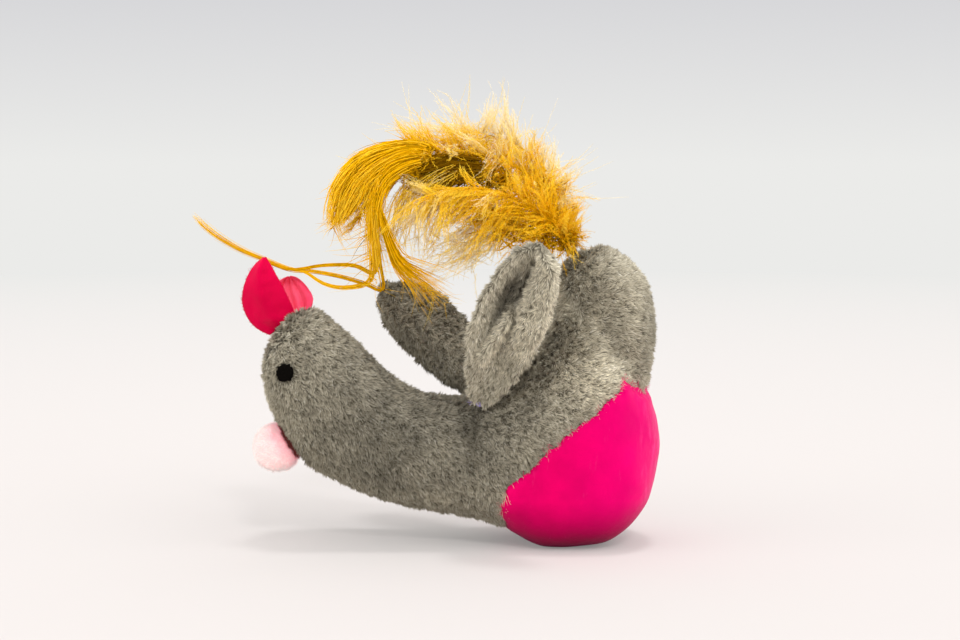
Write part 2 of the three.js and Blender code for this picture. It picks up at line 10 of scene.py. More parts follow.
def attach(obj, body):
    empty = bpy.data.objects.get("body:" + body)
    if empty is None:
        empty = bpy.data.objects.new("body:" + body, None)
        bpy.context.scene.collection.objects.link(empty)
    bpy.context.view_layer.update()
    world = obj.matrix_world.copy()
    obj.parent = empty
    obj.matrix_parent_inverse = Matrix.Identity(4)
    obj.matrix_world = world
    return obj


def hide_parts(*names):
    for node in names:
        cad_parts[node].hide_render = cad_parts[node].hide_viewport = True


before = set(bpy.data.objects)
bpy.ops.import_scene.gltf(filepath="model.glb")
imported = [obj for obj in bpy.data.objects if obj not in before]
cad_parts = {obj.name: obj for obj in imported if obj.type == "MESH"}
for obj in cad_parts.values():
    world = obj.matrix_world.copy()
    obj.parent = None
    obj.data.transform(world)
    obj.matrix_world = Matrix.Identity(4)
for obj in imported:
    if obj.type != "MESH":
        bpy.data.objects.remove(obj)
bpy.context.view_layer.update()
print("frame loaded:", len(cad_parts), "nodes")
handed = (("left", 1), ("right", -1))


# A node socket that can be used in Python sums
class Wire:
    def __init__(self, kit, socket):
        self.kit = kit
        self.socket = socket

    def calc(self, operation, *values):
        return self.kit.add("ShaderNodeMath", {"operation": operation}, [self, *values])

    def out(self, name):
        return Wire(self.kit, self.socket.node.outputs[name])

    def __add__(self, other):
        return self.calc("ADD", other)

    def __sub__(self, other):
        return self.calc("SUBTRACT", other)

    def __mul__(self, other):
        return self.calc("MULTIPLY", other)

    def clamped(self):
        return self.kit.add("ShaderNodeClamp", {}, [self, 0.0, 1.0])

    def ranged(self, low, high, newLow=0.0, newHigh=1.0):
        return self.kit.add("ShaderNodeMapRange", {}, [self, low, high, newLow, newHigh])


# Adds nodes to a shader tree or a geometry tree
class NodeKit:
    def __init__(self, tree, shader=None):
        self.tree = tree
        self.shader = shader

    def add(self, kind, settings=None, values=None, output=0):
        node = self.tree.nodes.new(kind)
        for key, value in (settings or {}).items():
            setattr(node, key, value)
        pairs = values.items() if isinstance(values, dict) else enumerate(values or [])
        for key, value in pairs:
            if isinstance(value, Wire):
                self.tree.links.new(value.socket, node.inputs[key])
            elif value is not None:
                node.inputs[key].default_value = value
        return Wire(self, node.outputs[output]) if len(node.outputs) else node

    def plug(self, socket, value):
        self.tree.links.new(value.socket, self.shader.inputs[socket])

    def ramp(self, factor, stops):
        wire = self.add("ShaderNodeValToRGB", {}, [factor])
        elements = wire.socket.node.color_ramp.elements
        while len(elements) < len(stops):
            elements.new(0.5)
        for element, (position, colour) in zip(elements, stops):
            element.position = position
            element.color = colour
        return wire

    def vector(self, operation, *values):
        output = "Value" if operation in ("DOT_PRODUCT", "LENGTH") else "Vector"
        return self.add("ShaderNodeVectorMath", {"operation": operation}, list(values), output)

    def scaled(self, vector, amount):
        return self.add("ShaderNodeVectorMath", {"operation": "SCALE"}, {0: vector, "Scale": amount})

    def stretched(self, where, scale):
        return self.add("ShaderNodeMapping", {}, {"Vector": where, "Scale": scale})

    def mixColour(self, factor, first, second):
        return self.add("ShaderNodeMix", {"data_type": "RGBA"}, {0: factor, 6: first, 7: second}, 2)

    def noise(self, where, scale, detail=2.0, roughness=0.5, output=0):
        values = {"Vector": where, "Scale": scale, "Detail": detail, "Roughness": roughness}
        return self.add("ShaderNodeTexNoise", {}, values, output)

    def attribute(self, name, output="Fac"):
        return self.add("ShaderNodeAttribute", {"attribute_name": name}, {}, output)

    def bump(self, height, strength, distance, normal=None):
        values = {"Height": height, "Strength": strength, "Distance": distance, "Normal": normal}
        return self.add("ShaderNodeBump", {}, values)

    # Mixes the normal of a thin blade with one of the object, so that many blades shade as one surface
    def softenNormal(self, steady, own):
        settings = {"vector_type": "NORMAL", "convert_from": "OBJECT", "convert_to": "WORLD"}
        turned = self.add("ShaderNodeVectorTransform", settings, [steady])
        blade = self.add("ShaderNodeNewGeometry", {}, {}, "Normal")
        mixed = self.add("ShaderNodeMix", {"data_type": "VECTOR"}, {0: own, 4: turned, 5: blade}, 1)
        self.plug("Normal", self.vector("NORMALIZE", mixed))

    def named(self, name, kind="FLOAT"):
        return self.add("GeometryNodeInputNamedAttribute", {"data_type": kind}, {"Name": name})

    def stored(self, geometry, name, value, kind="FLOAT"):
        values = {"Geometry": geometry, "Name": name, "Value": value}
        return self.add("GeometryNodeStoreNamedAttribute", {"data_type": kind, "domain": "POINT"}, values)

    def chance(self, low, high, seed):
        return self.add("FunctionNodeRandomValue", {}, {2: low, 3: high, "Seed": seed}, 1)

    def chanceVector(self, size, seed):
        values = {0: (-size,) * 3, 1: (size,) * 3, "Seed": seed}
        return self.add("FunctionNodeRandomValue", {"data_type": "FLOAT_VECTOR"}, values)

    def pointedAt(self, heading):
        return self.add("FunctionNodeAlignRotationToVector", {"axis": "Z"}, {"Vector": heading})

    # A blade with three sides that meet at its tip, with a value from how high each point is
    def blade(self, width, depth, name, share):
        values = {"Vertices": 3, "Radius Top": 0.0, "Radius Bottom": width * 0.58, "Depth": depth}
        cone = self.add("GeometryNodeMeshCone", {"fill_type": "NONE"}, values, "Mesh")
        height = self.add("ShaderNodeSeparateXYZ", {}, [self.add("GeometryNodeInputPosition")], "Z")
        return self.stored(cone, name, share(height))

    def handOut(self, geometry, given):
        real = self.add("GeometryNodeRealizeInstances", {}, {"Geometry": geometry})
        real = self.add("GeometryNodeSetMaterial", {}, {"Geometry": real, "Material": given.out("Material")})
        self.add("NodeGroupOutput", {}, {"Geometry": real})


# A geometry tree with its inputs, and the node that gives them
def newTree(name, numbers, wholes):
    tree = bpy.data.node_groups.new(name, "GeometryNodeTree")
    tree.interface.new_socket("Geometry", in_out="OUTPUT", socket_type="NodeSocketGeometry")
    kinds = {"Geometry": "Geometry", **dict.fromkeys(numbers, "Float"), **dict.fromkeys(wholes, "Int")}
    for label, kind in {**kinds, "Material": "Material"}.items():
        tree.interface.new_socket(label, in_out="INPUT", socket_type="NodeSocket" + kind)
    kit = NodeKit(tree)
    return kit, kit.add("NodeGroupInput")


# sRGB bytes to a linear colour
def tint(red, green, blue):
    def linear(value):
        share = value / 255
        return share / 12.92 if share <= 0.04045 else ((share + 0.055) / 1.055) ** 2.4
    return (linear(red), linear(green), linear(blue), 1.0)


# A new material, with its kit and the place of each point in the object
def newMaterial(name, roughness, specular, fixed=None):
    material = bpy.data.materials.new(name)
    material.use_nodes = True
    kit = NodeKit(material.node_tree, material.node_tree.nodes["Principled BSDF"])
    values = {"Roughness": roughness, "Specular IOR Level": specular, **(fixed or {})}
    for socket, value in values.items():
        kit.shader.inputs[socket].default_value = value
    return material, kit, kit.add("ShaderNodeTexCoord", {}, {}, "Object")


# Two colours mixed in patches, and a grain that is a scale, a detail, a strength and a height
def mottledMaterial(name, roughness, specular, patch, dark, light, grain):
    material, kit, where = newMaterial(name, roughness, specular)
    kit.plug("Base Color", kit.mixColour(kit.noise(where, patch, 3), dark, light))
    scale, detail, strength, height = grain
    kit.plug("Normal", kit.bump(kit.noise(where, scale, detail), strength, height))
    return material, kit, where


def placed(name, data):
    thing = bpy.data.objects.new(name, data)
    bpy.context.scene.collection.objects.link(thing)
    return thing


# Camera
view = {
    "target": Vector((0.01306, 0, 0.0535)),
    "distance": 0.43,
    "elevation": math.radians(5),
    "lens": 67.2,
}
cameraData = bpy.data.cameras.new("camera")
cameraData.lens = view["lens"]
cameraData.sensor_width = 36
cameraData.clip_start = 0.01
cameraData.clip_end = 50
camera = placed("camera", cameraData)
away = Vector((0, -math.cos(view["elevation"]), math.sin(view["elevation"])))
camera.location = view["target"] + away * view["distance"]
camera.rotation_euler = (-away).to_track_quat("-Z", "Y").to_euler()
bpy.context.scene.camera = camera
bpy.context.scene.view_settings.view_transform = "Standard"

# Light: a pale room, with broad lamps in front, overhead and on the right
room = {
    "worldLevel": 0.94,
    "lamps": [
        {"name": "frontLamp", "from": (0.3, -1.2, 1.1), "level": 0.6, "angle": 9},
        {"name": "topLamp", "from": (0.08, 0.03, 1.0), "level": 0.7, "angle": 9},
        {"name": "sideLamp", "from": (1.0, -0.6, 0.75), "level": 0.95, "angle": 70},
        {"name": "faceLamp", "from": (-1.0, -0.35, 0.3), "level": 0.75, "angle": 50},
    ],
    "floorSeen": tint(214, 208, 206),
    "floorBounce": tint(215, 210, 206),
    "horizon": tint(235, 235, 233),
    "zenith": tint(208, 208, 212),
}
for lamp in room["lamps"]:
    lampData = bpy.data.lights.new(lamp["name"], "SUN")
    lampData.energy = lamp["level"]
    lampData.angle = math.radians(lamp["angle"])
    lampObject = placed(lamp["name"], lampData)
    lampObject.rotation_euler = Vector(lamp["from"]).to_track_quat("Z", "Y").to_euler()

world = bpy.data.worlds.new("room")
bpy.context.scene.world = world
world.use_nodes = True
kit = NodeKit(world.node_tree)
plainSky = world.node_tree.nodes["Background"]
plainSky.inputs["Color"].default_value = (1, 0.985, 0.97, 1)
plainSky.inputs["Strength"].default_value = room["worldLevel"]
skyward = kit.add("ShaderNodeSeparateXYZ", {}, [kit.add("ShaderNodeTexCoord", {}, {}, "Generated")], "Z")
skyColour = kit.mixColour(skyward.ranged(0.0, 0.12), room["horizon"], room["zenith"])
seenSky = kit.add("ShaderNodeBackground", {}, {"Color": skyColour, "Strength": 1.0})
ray = kit.add("ShaderNodeLightPath", {}, {}, "Is Camera Ray")
sight = ray.calc("MAXIMUM", ray.out("Is Glossy Ray"))
skyMix = kit.add("ShaderNodeMixShader", {}, {0: sight, 1: Wire(kit, plainSky.outputs[0]), 2: seenSky})
kit.tree.links.new(skyMix.socket, world.node_tree.nodes["World Output"].inputs["Surface"])

floorMaterial, kit, where = newMaterial("paleFloor", 0.9, 0.1)
seen = kit.add("ShaderNodeLightPath", {}, {}, "Is Camera Ray")
kit.plug("Base Color", kit.mixColour(seen, room["floorBounce"], room["floorSeen"]))
farShare = kit.vector("LENGTH", where).ranged(0.15, 1.1, 0.22, 1.0) * seen
farGlow = kit.add("ShaderNodeEmission", {}, {"Color": room["horizon"], "Strength": 1.0})
floorMix = kit.add("ShaderNodeMixShader", {}, {0: farShare, 1: Wire(kit, kit.shader.outputs[0]), 2: farGlow})
kit.tree.links.new(floorMix.socket, kit.tree.nodes["Material Output"].inputs["Surface"])


# A mesh object at the origin from points and faces
def newPiece(name, points, faces, material, smooth=True):
    mesh = bpy.data.meshes.new(name)
    mesh.from_pydata([tuple(p) for p in points], [], [tuple(int(i) for i in f) for f in faces])
    mesh.update()
    mesh.polygons.foreach_set("use_smooth", [smooth] * len(mesh.polygons))
    mesh.materials.append(material)
    return placed(name, mesh)


def turnsOf(count):
    return np.linspace(0, 2 * math.pi, count + 1)[:-1]


floorRing = [(8 * math.cos(a), 8 * math.sin(a), 0) for a in turnsOf(96)]
newPiece("paleFloor", floorRing, [range(96)], floorMaterial, False)
print("room ready")


# Says what a piece rides on and which imported node it stands for, and hides that node; the slot is not used
def dress(piece, owner, slot, node=None):
    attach(piece, owner)
    if node:
        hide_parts(node)


# Gives the points of a mesh named values, a number or a vector each
def storeValues(mesh, **named):
    for name, values in named.items():
        values = np.asarray(values, np.float32)
        kind, key = ("FLOAT_VECTOR", "vector") if values.ndim == 2 else ("FLOAT", "value")
        mesh.attributes.new(name, kind, "POINT").data.foreach_set(key, values.ravel())


# Applies a piece's modifiers, so that its mesh is plain
def applyModifiers(piece):
    graph = bpy.context.evaluated_depsgraph_get()
    mesh = bpy.data.meshes.new_from_object(piece.evaluated_get(graph))
    piece.modifiers.clear()
    piece.data = mesh


def thicken(piece, thickness, offset=-1):
    wall = piece.modifiers.new("wall", "SOLIDIFY")
    wall.thickness = thickness
    wall.offset = offset
    applyModifiers(piece)


# Runs a node tree on a mesh object and leaves its plain result
def grow(piece, tree, inputs):
    modifier = piece.modifiers.new("grow", "NODES")
    modifier.node_group = tree
    for item in tree.interface.items_tree:
        if item.name in inputs:
            modifier[item.identifier] = inputs[item.name]
    applyModifiers(piece)


# Pile on a mesh that has points or faces: its comb, the way out, its share of the length and its painted
# light and shade
def growPile(piece, sizes, material, comb, normal, share, nap):
    storeValues(piece.data, comb=comb, skinNormal=normal, pileShare=share, nap=nap)
    grow(piece, pile, {**sizes, "Material": material})
    print(piece.name, len(piece.data.polygons), "faces")


# A smooth path through points, as open Catmull-Rom
def pathAt(points, t):
    points = np.asarray(points, float)
    count = len(points) - 1
    place = np.clip(np.asarray(t, float), 0, 1) * count
    index = np.minimum(place.astype(int), count - 1)
    w = (place - index)[..., None]
    grown = np.vstack([2 * points[0] - points[1], points, 2 * points[-1] - points[-2]])
    before, here, after, beyond = (grown[index + k] for k in range(4))
    leave = (after - before) / 2
    arrive = (beyond - here) / 2
    return (
        here
        + leave * w
        + (3 * (after - here) - 2 * leave - arrive) * w**2
        + (2 * (here - after) + leave + arrive) * w**3
    )


def smoothStep(x, low, high):
    share = np.clip((x - low) / (high - low), 0, 1)
    return share * share * (3 - 2 * share)


def shareAt(table, s):
    places, values = np.array(table, float).T
    index = np.clip(np.searchsorted(places, s, side="left"), 1, len(places) - 1)
    start = values[index - 1]
    return start + (values[index] - start) * smoothStep(s, places[index - 1], places[index])


def valueAt(table, s):
    return float(np.interp(s, *np.array(table, float).T))


def hill(x, middle, width):
    return np.exp(-(((x - middle) / width) ** 2))


def softSpot(points, at, size):
    return hill(np.linalg.norm((points - np.array(at)) / np.array(size), axis=1), 0, 1)


def unit(vectors):
    return vectors / np.maximum(np.linalg.norm(vectors, axis=-1, keepdims=True), 1e-12)


# Smooth random values at points, from -1 to 1
def cloud(points, size, seed=0.0):
    shift = Vector((seed, seed * 1.7, -seed))
    return np.array([noise.noise(Vector(p) / size + shift) for p in np.asarray(points).reshape(-1, 3)])


# Body, in the sizes of the part: an oval at every station from the face to the tip of the rump
body = {
    "length": 0.096,
    "height": 0.0723,
    "width": 0.036,
    "restDepth": 0.0005,
    "pileParting": 0.45,
    "floorClear": 0.0015,
    "comb": {"step": 0.01, "onward": 0.75, "downward": 0.8, "down": (0.25, 0, -1.0)},
    "shift": 0.0394957,
    "rows": 210,
    "columns": 74,
    "plushDepth": 0.00105,
    "satinDepth": 0.00015,
    "clothThickness": 0.0004,
    # Each station: the back and the belly, along and up, and half the width, as shares
    "stations": [
        [0.001, 0.568, 0.001, 0.568, 0.0], [0.009, 0.641, 0.008, 0.515, 0.155],
        [0.025, 0.701, 0.022, 0.449, 0.255], [0.052, 0.748, 0.045, 0.385, 0.325],
        [0.09, 0.781, 0.082, 0.302, 0.365], [0.135, 0.784, 0.132, 0.246, 0.38],
        [0.192, 0.734, 0.185, 0.209, 0.387], [0.252, 0.661, 0.242, 0.173, 0.386],
        [0.317, 0.578, 0.302, 0.143, 0.382], [0.382, 0.521, 0.365, 0.123, 0.382],
        [0.45, 0.501, 0.437, 0.106, 0.388], [0.522, 0.503, 0.522, 0.086, 0.41],
        [0.592, 0.533, 0.61, 0.053, 0.446], [0.647, 0.583, 0.7, 0.002, 0.482], [0.687, 0.641, 0.79, 0, 0.5],
        [0.712, 0.701, 0.874, 0.024, 0.5], [0.727, 0.754, 0.952, 0.116, 0.483],
        [0.735, 0.797, 0.987, 0.216, 0.456], [0.74, 0.834, 1.0, 0.316, 0.422],
        [0.74, 0.86, 0.992, 0.415, 0.387], [0.742, 0.884, 0.975, 0.515, 0.353],
        [0.745, 0.904, 0.984, 0.625, 0.35], [0.752, 0.924, 0.987, 0.721, 0.35],
        [0.765, 0.947, 0.98, 0.817, 0.338], [0.785, 0.967, 0.957, 0.897, 0.3],
        [0.812, 0.983, 0.922, 0.953, 0.222], [0.837, 0.995, 0.887, 0.982, 0.125],
        [0.862, 1.0, 0.862, 1.0, 0.0],
    ],
    "bellyPower": [[0.38, 2], [0.48, 3.4], [0.56, 3.4], [0.66, 2]],
    "seam": [
        [0.613, -0.2], [0.605, 0.05], [0.597, 0.12], [0.6, 0.175], [0.632, 0.238], [0.672, 0.292],
        [0.712, 0.345], [0.745, 0.387], [0.785, 0.415], [0.818, 0.462], [0.848, 0.497], [0.882, 0.524],
        [0.906, 0.574], [0.927, 0.556], [0.95, 0.53], [0.975, 0.52], [1.2, 0.515],
    ],
    # Painted light and shade along the body: a factor on the pile's colour at each share of its length,
    # darker at the neck
    "nap": [
        [0, 1.25], [0.1, 1.15], [0.2, 0.86], [0.3, 0.68], [0.42, 0.78], [0.5, 0.95], [0.65, 1.18],
        [0.8, 1.05], [1, 0.94],
    ],
    "nose": {"at": (-0.0360, -0.0010, 0.0237), "near": 0.0062, "far": 0.0086, "share": 0.25},
    # Places where the pile is longer: x, z, size and how much longer
    "crowns": [
        (0.0320, 0.0675, 0.0055, 1.1), (-0.0290, 0.0565, 0.0060, 0.7), (0.0312, 0.0580, 0.0060, 0.8),
        (0.0285, 0.0500, 0.0055, 0.7), (0.0240, 0.0440, 0.0055, 0.7),
    ],
    # Painted light and shade on the pile, such as shade in the neck fold: x, z, width, height and how much
    # lighter
    "paintedLightAndShade": [
        (-0.004, 0.0295, 0.010, 0.007, -0.24), (0.010, 0.0270, 0.0035, 0.010, -0.34),
        (0.0070, 0.0125, 0.014, 0.005, 0.3), (-0.024, 0.0230, 0.010, 0.006, -0.08),
        (0.0460, 0.0600, 0.008, 0.008, 0.25), (-0.0350, 0.0290, 0.0011, 0.0016, -0.6),
        (-0.0330, 0.0262, 0.0011, 0.0016, -0.7), (-0.0312, 0.0234, 0.0011, 0.0016, -0.7),
        (-0.0298, 0.0212, 0.0010, 0.0012, -0.6), (0.038, 0.0400, 0.008, 0.007, 0.5),
        (0.054, 0.0510, 0.0035, 0.011, -0.34), (-0.030, 0.0500, 0.010, 0.006, 0.15),
    ],
}


def sidePoint(shares):
    shares = np.asarray(shares, float)
    return np.stack(
        [
            shares[..., 0] * body["length"] - body["shift"],
            np.zeros(shares.shape[:-1]),
            shares[..., 1] * body["height"] - body["restDepth"],
        ],
        -1,
    )


def bodySection(t):
    stations = np.array(body["stations"])
    back = pathAt(sidePoint(stations[:, 0:2]), t)
    belly = pathAt(sidePoint(stations[:, 2:4]), t)
    halfWidth = pathAt(stations[:, 4:5] * body["width"], t)[..., 0]
    return (back + belly) / 2, (belly - back) / 2, halfWidth


# The angle goes round from the belly line, over the left side where it is positive, to the back
def bodyPoint(t, angle):
    t, angle = np.broadcast_arrays(np.asarray(t, float), np.asarray(angle, float))
    centre, toBelly, halfWidth = bodySection(t)
    power = np.where(np.cos(angle) > 0, shareAt(body["bellyPower"], t), 2.0)
    roundCos = np.sign(np.cos(angle)) * np.abs(np.cos(angle)) ** (2 / power)
    roundSin = np.sign(np.sin(angle)) * np.abs(np.sin(angle)) ** (2 / power)
    point = centre + toBelly * roundCos[..., None]
    point[..., 1] -= halfWidth * roundSin
    return point


def bodyNormal(t, angle):
    t, angle = np.broadcast_arrays(np.asarray(t, float), np.asarray(angle, float))
    step = 0.004
    along = bodyPoint(np.clip(t + step, 0, 1), angle) - bodyPoint(np.clip(t - step, 0, 1), angle)
    around = bodyPoint(t, angle + 0.01) - bodyPoint(t, angle - 0.01)
    normal = unit(np.cross(along, around))
    inward = bodySection(np.clip(t, 0.08, 0.92))[0]
    pole = unit(bodyPoint(t, np.zeros_like(angle)) - inward)
    nearPole = (t < 0.002) | (t > 0.998)
    return np.where(nearPole[..., None], pole, normal)


seamLine = pathAt(sidePoint(body["seam"]), np.linspace(0, 1, 420))
seamAlong = unit(np.gradient(seamLine, axis=0))


# Distance from the seam between plush and satin in side view, above nought on the satin
def seamDistance(points):
    points = np.asarray(points, float)
    flat = points[:, None, [0, 2]] - seamLine[None, :, [0, 2]]
    far = np.linalg.norm(flat, axis=-1)
    nearest = far.argmin(1)
    row = np.arange(len(points))
    cross = flat[row, nearest, 0] * seamAlong[nearest, 2] - flat[row, nearest, 1] * seamAlong[nearest, 0]
    return np.sign(cross) * far[row, nearest]


# Keeps the part of a mesh where its values are above nought, and cuts the faces that they cross
def cutWhere(columns, faces, values):
    columns = [row for row in columns]
    made = {}

    def crossing(a, b):
        key = (min(a, b), max(a, b))
        if key not in made:
            share = values[a] / (values[a] - values[b])
            made[key] = len(columns)
            columns.append(columns[a] + (columns[b] - columns[a]) * share)
        return made[key]

    kept = []
    for face in faces:
        ring = []
        for k, a in enumerate(face):
            b = face[(k + 1) % len(face)]
            if values[a] >= 0:
                ring.append(a)
            if (values[a] >= 0) != (values[b] >= 0):
                ring.append(crossing(a, b))
        if len(ring) > 2:
            kept.append(ring)
    used = sorted({i for ring in kept for i in ring})
    renumber = {old: new for new, old in enumerate(used)}
    return np.array([columns[i] for i in used]), [[renumber[i] for i in ring] for ring in kept]


# Rows of points on one side of the body, from pole to pole: place along and angle
def sideGrid(sign):
    rows = []
    faces = []
    starts = []
    lastRow = body["rows"] - 1
    for r, t in enumerate(np.linspace(0, 1, body["rows"])):
        starts.append(len(rows))
        shares = [0.5] if r in (0, lastRow) else np.linspace(0, 1, body["columns"])
        rows += [[t, sign * math.pi * share] for share in shares]
    for r, (top, low) in enumerate(zip(starts, starts[1:])):
        for k in range(body["columns"] - 1):
            if r == 0:
                ring = [top, low + k, low + k + 1]
            elif r == lastRow - 1:
                ring = [top + k, low, top + k + 1]
            else:
                ring = [top + k, low + k, low + k + 1, top + k + 1]
            faces.append(ring if sign > 0 else ring[::-1])
    return np.array(rows), faces


# Faces over a plain grid of points
def gridFaces(rows, columns):
    corners = [r * columns + k for r in range(rows - 1) for k in range(columns - 1)]
    return [[a, a + 1, a + 1 + columns, a + columns] for a in corners]


# How far the cloth lies under the outside of the solid, with its dents and grooves
relief = {
    "lump": 0.00035,
    "lumpSize": 0.011,
    "crease": 0.00012,
    "creaseSize": 0.0035,
    "middleGroove": 0.00055,
    "middleWidth": 0.0011,
    "bellyGroove": 0.0008,
    "bellyWidth": 0.0011,
    "seamWander": 0.0008,
    "seamWanderSize": 0.0021,
    "seamSwing": 0.0011,
    "seamSwingSize": 0.0052,
    # Each dent: its place, its size and its depth
    "dents": [
        ((0.0455, -0.013, 0.0455), (0.0055, 0.009, 0.0032), 0.0016),
        ((0.0455, 0.013, 0.0455), (0.0055, 0.009, 0.0032), 0.0012),
        ((0.0500, -0.010, 0.0405), (0.0022, 0.009, 0.0045), 0.0009),
        ((0.0100, -0.0135, 0.0260), (0.0030, 0.009, 0.0090), 0.0015),
        ((0.0100, 0.0135, 0.0260), (0.0030, 0.009, 0.0090), 0.0009),
        ((-0.0250, -0.014, 0.0290), (0.0070, 0.009, 0.0030), 0.0005),
    ],
}


def reliefDepth(points, seamGap):
    depth = -relief["lump"] * cloud(points, relief["lumpSize"], 3.1)
    depth -= relief["crease"] * cloud(points, relief["creaseSize"], 8.4)
    depth += relief["middleGroove"] * hill(points[:, 1], 0, relief["middleWidth"])
    depth += relief["bellyGroove"] * hill(seamGap, 0, relief["bellyWidth"])
    for at, size, deep in relief["dents"]:
        depth += deep * softSpot(points, at, size)
    return depth


def clothPoints(places, depth, seamGap):
    raw = bodyPoint(places[:, 0], places[:, 1])
    normal = bodyNormal(places[:, 0], places[:, 1])
    points = raw - normal * (depth + reliefDepth(raw, seamGap))[:, None]
    points[:, 2] = np.maximum(points[:, 2], 0.00002)
    return points, normal


def seamField(places):
    raw = bodyPoint(places[:, 0], places[:, 1])
    wander = relief["seamWander"] * cloud(raw, relief["seamWanderSize"], 5.5)
    wander += relief["seamSwing"] * cloud(raw, relief["seamSwingSize"], 9.5)
    return seamDistance(raw) + wander


def pileMaterial(name, deep, low, high, pale):
    fixed = {"Sheen Weight": 0.2, "Sheen Roughness": 0.45, "Sheen Tint": (0.9, 0.87, 0.78, 1)}
    material, kit, where = newMaterial(name, 0.85, 0.12, fixed)
    tone = kit.attribute("tone")
    patch = kit.noise(where, 620, 3, 0.6)
    tipColour = kit.mixColour((tone * 0.5 + patch * 1.5 - 0.55).clamped(), low, high)
    tipColour = kit.mixColour((tone.ranged(0.93, 1.0) * 0.7).clamped(), tipColour, pale)
    # Darker towards the root of each blade: painted shade deep in the pile
    lit = kit.mixColour(kit.attribute("along").ranged(0.0, 0.75), deep, tipColour)
    # The colour is scaled by painted light and shade, with random tone
    kit.plug("Base Color", kit.scaled(lit, kit.attribute("nap")))
    kit.softenNormal(kit.attribute("skinNormal", "Vector"), 0.4)
    return material


def satinMaterial(name, base, paleScuffAndHighlight, deep, sheen, paintedLight=None):
    fixed = {"Specular Tint": sheen, "Sheen Weight": 0.12, "Sheen Roughness": 0.3, "Sheen Tint": sheen}
    material, kit, where = newMaterial(name, 0.48, 0.14, fixed)
    parts = kit.add("ShaderNodeSeparateXYZ", {}, [where])
    warp = (parts.out("X") * 0.8 + parts.out("Z") * 0.6) * 24000
    weft = (parts.out("X") * 0.6 - parts.out("Z") * 0.8) * 24000
    weave = warp.calc("SINE") * 0.5 + weft.calc("SINE") * 0.5
    patch = kit.noise(where, 90, 3)
    scuff = kit.noise(kit.stretched(where, (4.0, 1.0, 0.6)), 260, 3, 0.7)
    slub = kit.noise(kit.stretched(where, (1.0, 1.0, 3.4)), 520, 4, 0.7)
    colour = kit.mixColour(patch.ranged(0.3, 0.75), deep, base)
    colour = kit.mixColour(slub.ranged(0.56, 0.74) * 0.4, colour, deep)
    # Pale scuffs of wear all over
    scuffsAndHighlight = scuff.ranged(0.66, 0.8) * 0.2
    # Painted highlight in a band on the right, the right side painted brighter, and painted shade towards the
    # bottom
    if paintedLight:
        scuffsAndHighlight = scuffsAndHighlight + scuff.ranged(0.5, 0.7) * parts.out("X").ranged(*paintedLight["scuffsAndHighlight"]) * 0.5
        colour = kit.mixColour(parts.out("X").ranged(*paintedLight["across"]) * 0.5, colour, paintedLight["side"])
        colour = kit.mixColour(parts.out("Z").ranged(*paintedLight["under"]), colour, paintedLight["paintedShadeColour"])
    colour = kit.mixColour(scuffsAndHighlight.clamped(), colour, paleScuffAndHighlight)
    kit.plug("Base Color", colour)
    kit.plug("Roughness", patch.ranged(0.2, 0.8, 0.42, 0.56))
    ripple = kit.bump(kit.noise(where, 160, 3), 0.35, 0.0012)
    kit.plug("Normal", kit.bump(weave, 0.2, 0.00006, ripple))
    return material


# Grey plush cloth under the pile, and the satin
plushCloth, kit, where = mottledMaterial(
    "plushCloth", 0.95, 0.1, 120, tint(126, 119, 102), tint(158, 150, 131), (1800, 2, 0.4, 0.0003)
)
bodyPile = pileMaterial(
    "bodyPile", tint(84, 79, 67), tint(158, 150, 130), tint(222, 214, 192), tint(248, 243, 230)
)
# Painted light on the belly satin: a highlight band and a brighter side on the right, shade towards the
# bottom
satinPaintedLight = {
    "scuffsAndHighlight": (0.0490, 0.0560),
    "across": (0.03, 0.056),
    "under": (0.0125, 0.0015),
    "side": tint(232, 0, 122),
    "paintedShadeColour": tint(122, 0, 50),
}
bellySatin = satinMaterial(
    "bellySatin", tint(234, 0, 100), tint(255, 92, 168), tint(200, 0, 84), (1, 0.1, 0.5, 1), satinPaintedLight
)


# Blades of pile on cloth: spread over the faces, combed, tufted, and turned to face out
def pileTree():
    kit, given = newTree("pileTree", ("Density", "Length", "Width", "Lean", "Tuft", "Tuft Size"), ("Seed",))
    mask = kit.named("pileShare")
    normal = kit.named("skinNormal", "FLOAT_VECTOR")
    values = {"Mesh": given, "Density": given.out("Density") * mask, "Seed": given.out("Seed")}
    spread = kit.add("GeometryNodeDistributePointsOnFaces", {"distribute_method": "RANDOM"}, values)
    points = kit.stored(spread, "skinNormal", spread.out("Normal"), "FLOAT_VECTOR")
    points = kit.stored(points, "tone", kit.chance(0.0, 1.0, given.out("Seed")))
    points = kit.stored(points, "nap", kit.named("nap"))
    tuftScale = given.out("Tuft Size").calc("POWER", -1.0)
    swirl = kit.noise(kit.add("GeometryNodeInputPosition"), tuftScale, 1.0, 0.6, "Color")
    swirl = kit.vector("SUBTRACT", swirl, (0.5, 0.5, 0.5))
    comb = kit.scaled(kit.named("comb", "FLOAT_VECTOR"), given.out("Lean"))
    heading = kit.vector("ADD", normal, comb)
    heading = kit.vector("ADD", heading, kit.scaled(swirl, given.out("Tuft") * 3.2))
    heading = kit.vector("ADD", heading, kit.scaled(kit.chanceVector(0.5, 0), 0.7))
    across = kit.vector("CROSS_PRODUCT", heading, normal)
    twist = kit.vector("ADD", across, kit.scaled(normal, kit.chance(-0.7, 0.7, 7) * 0.6))
    values = {"Rotation": kit.pointedAt(heading), "Vector": twist}
    turn = kit.add("FunctionNodeAlignRotationToVector", {"axis": "X", "pivot_axis": "Z"}, values)
    length = given.out("Length")
    blade = kit.blade(given.out("Width"), length, "along", lambda height: height.calc("DIVIDE", length))
    grown = kit.chance(0.7, 1.15, 3) * (mask * 0.5 + 0.5)
    values = {"Points": points, "Instance": blade, "Rotation": turn, "Scale": grown}
    kit.handOut(kit.add("GeometryNodeInstanceOnPoints", {}, values), given)
    return kit.tree


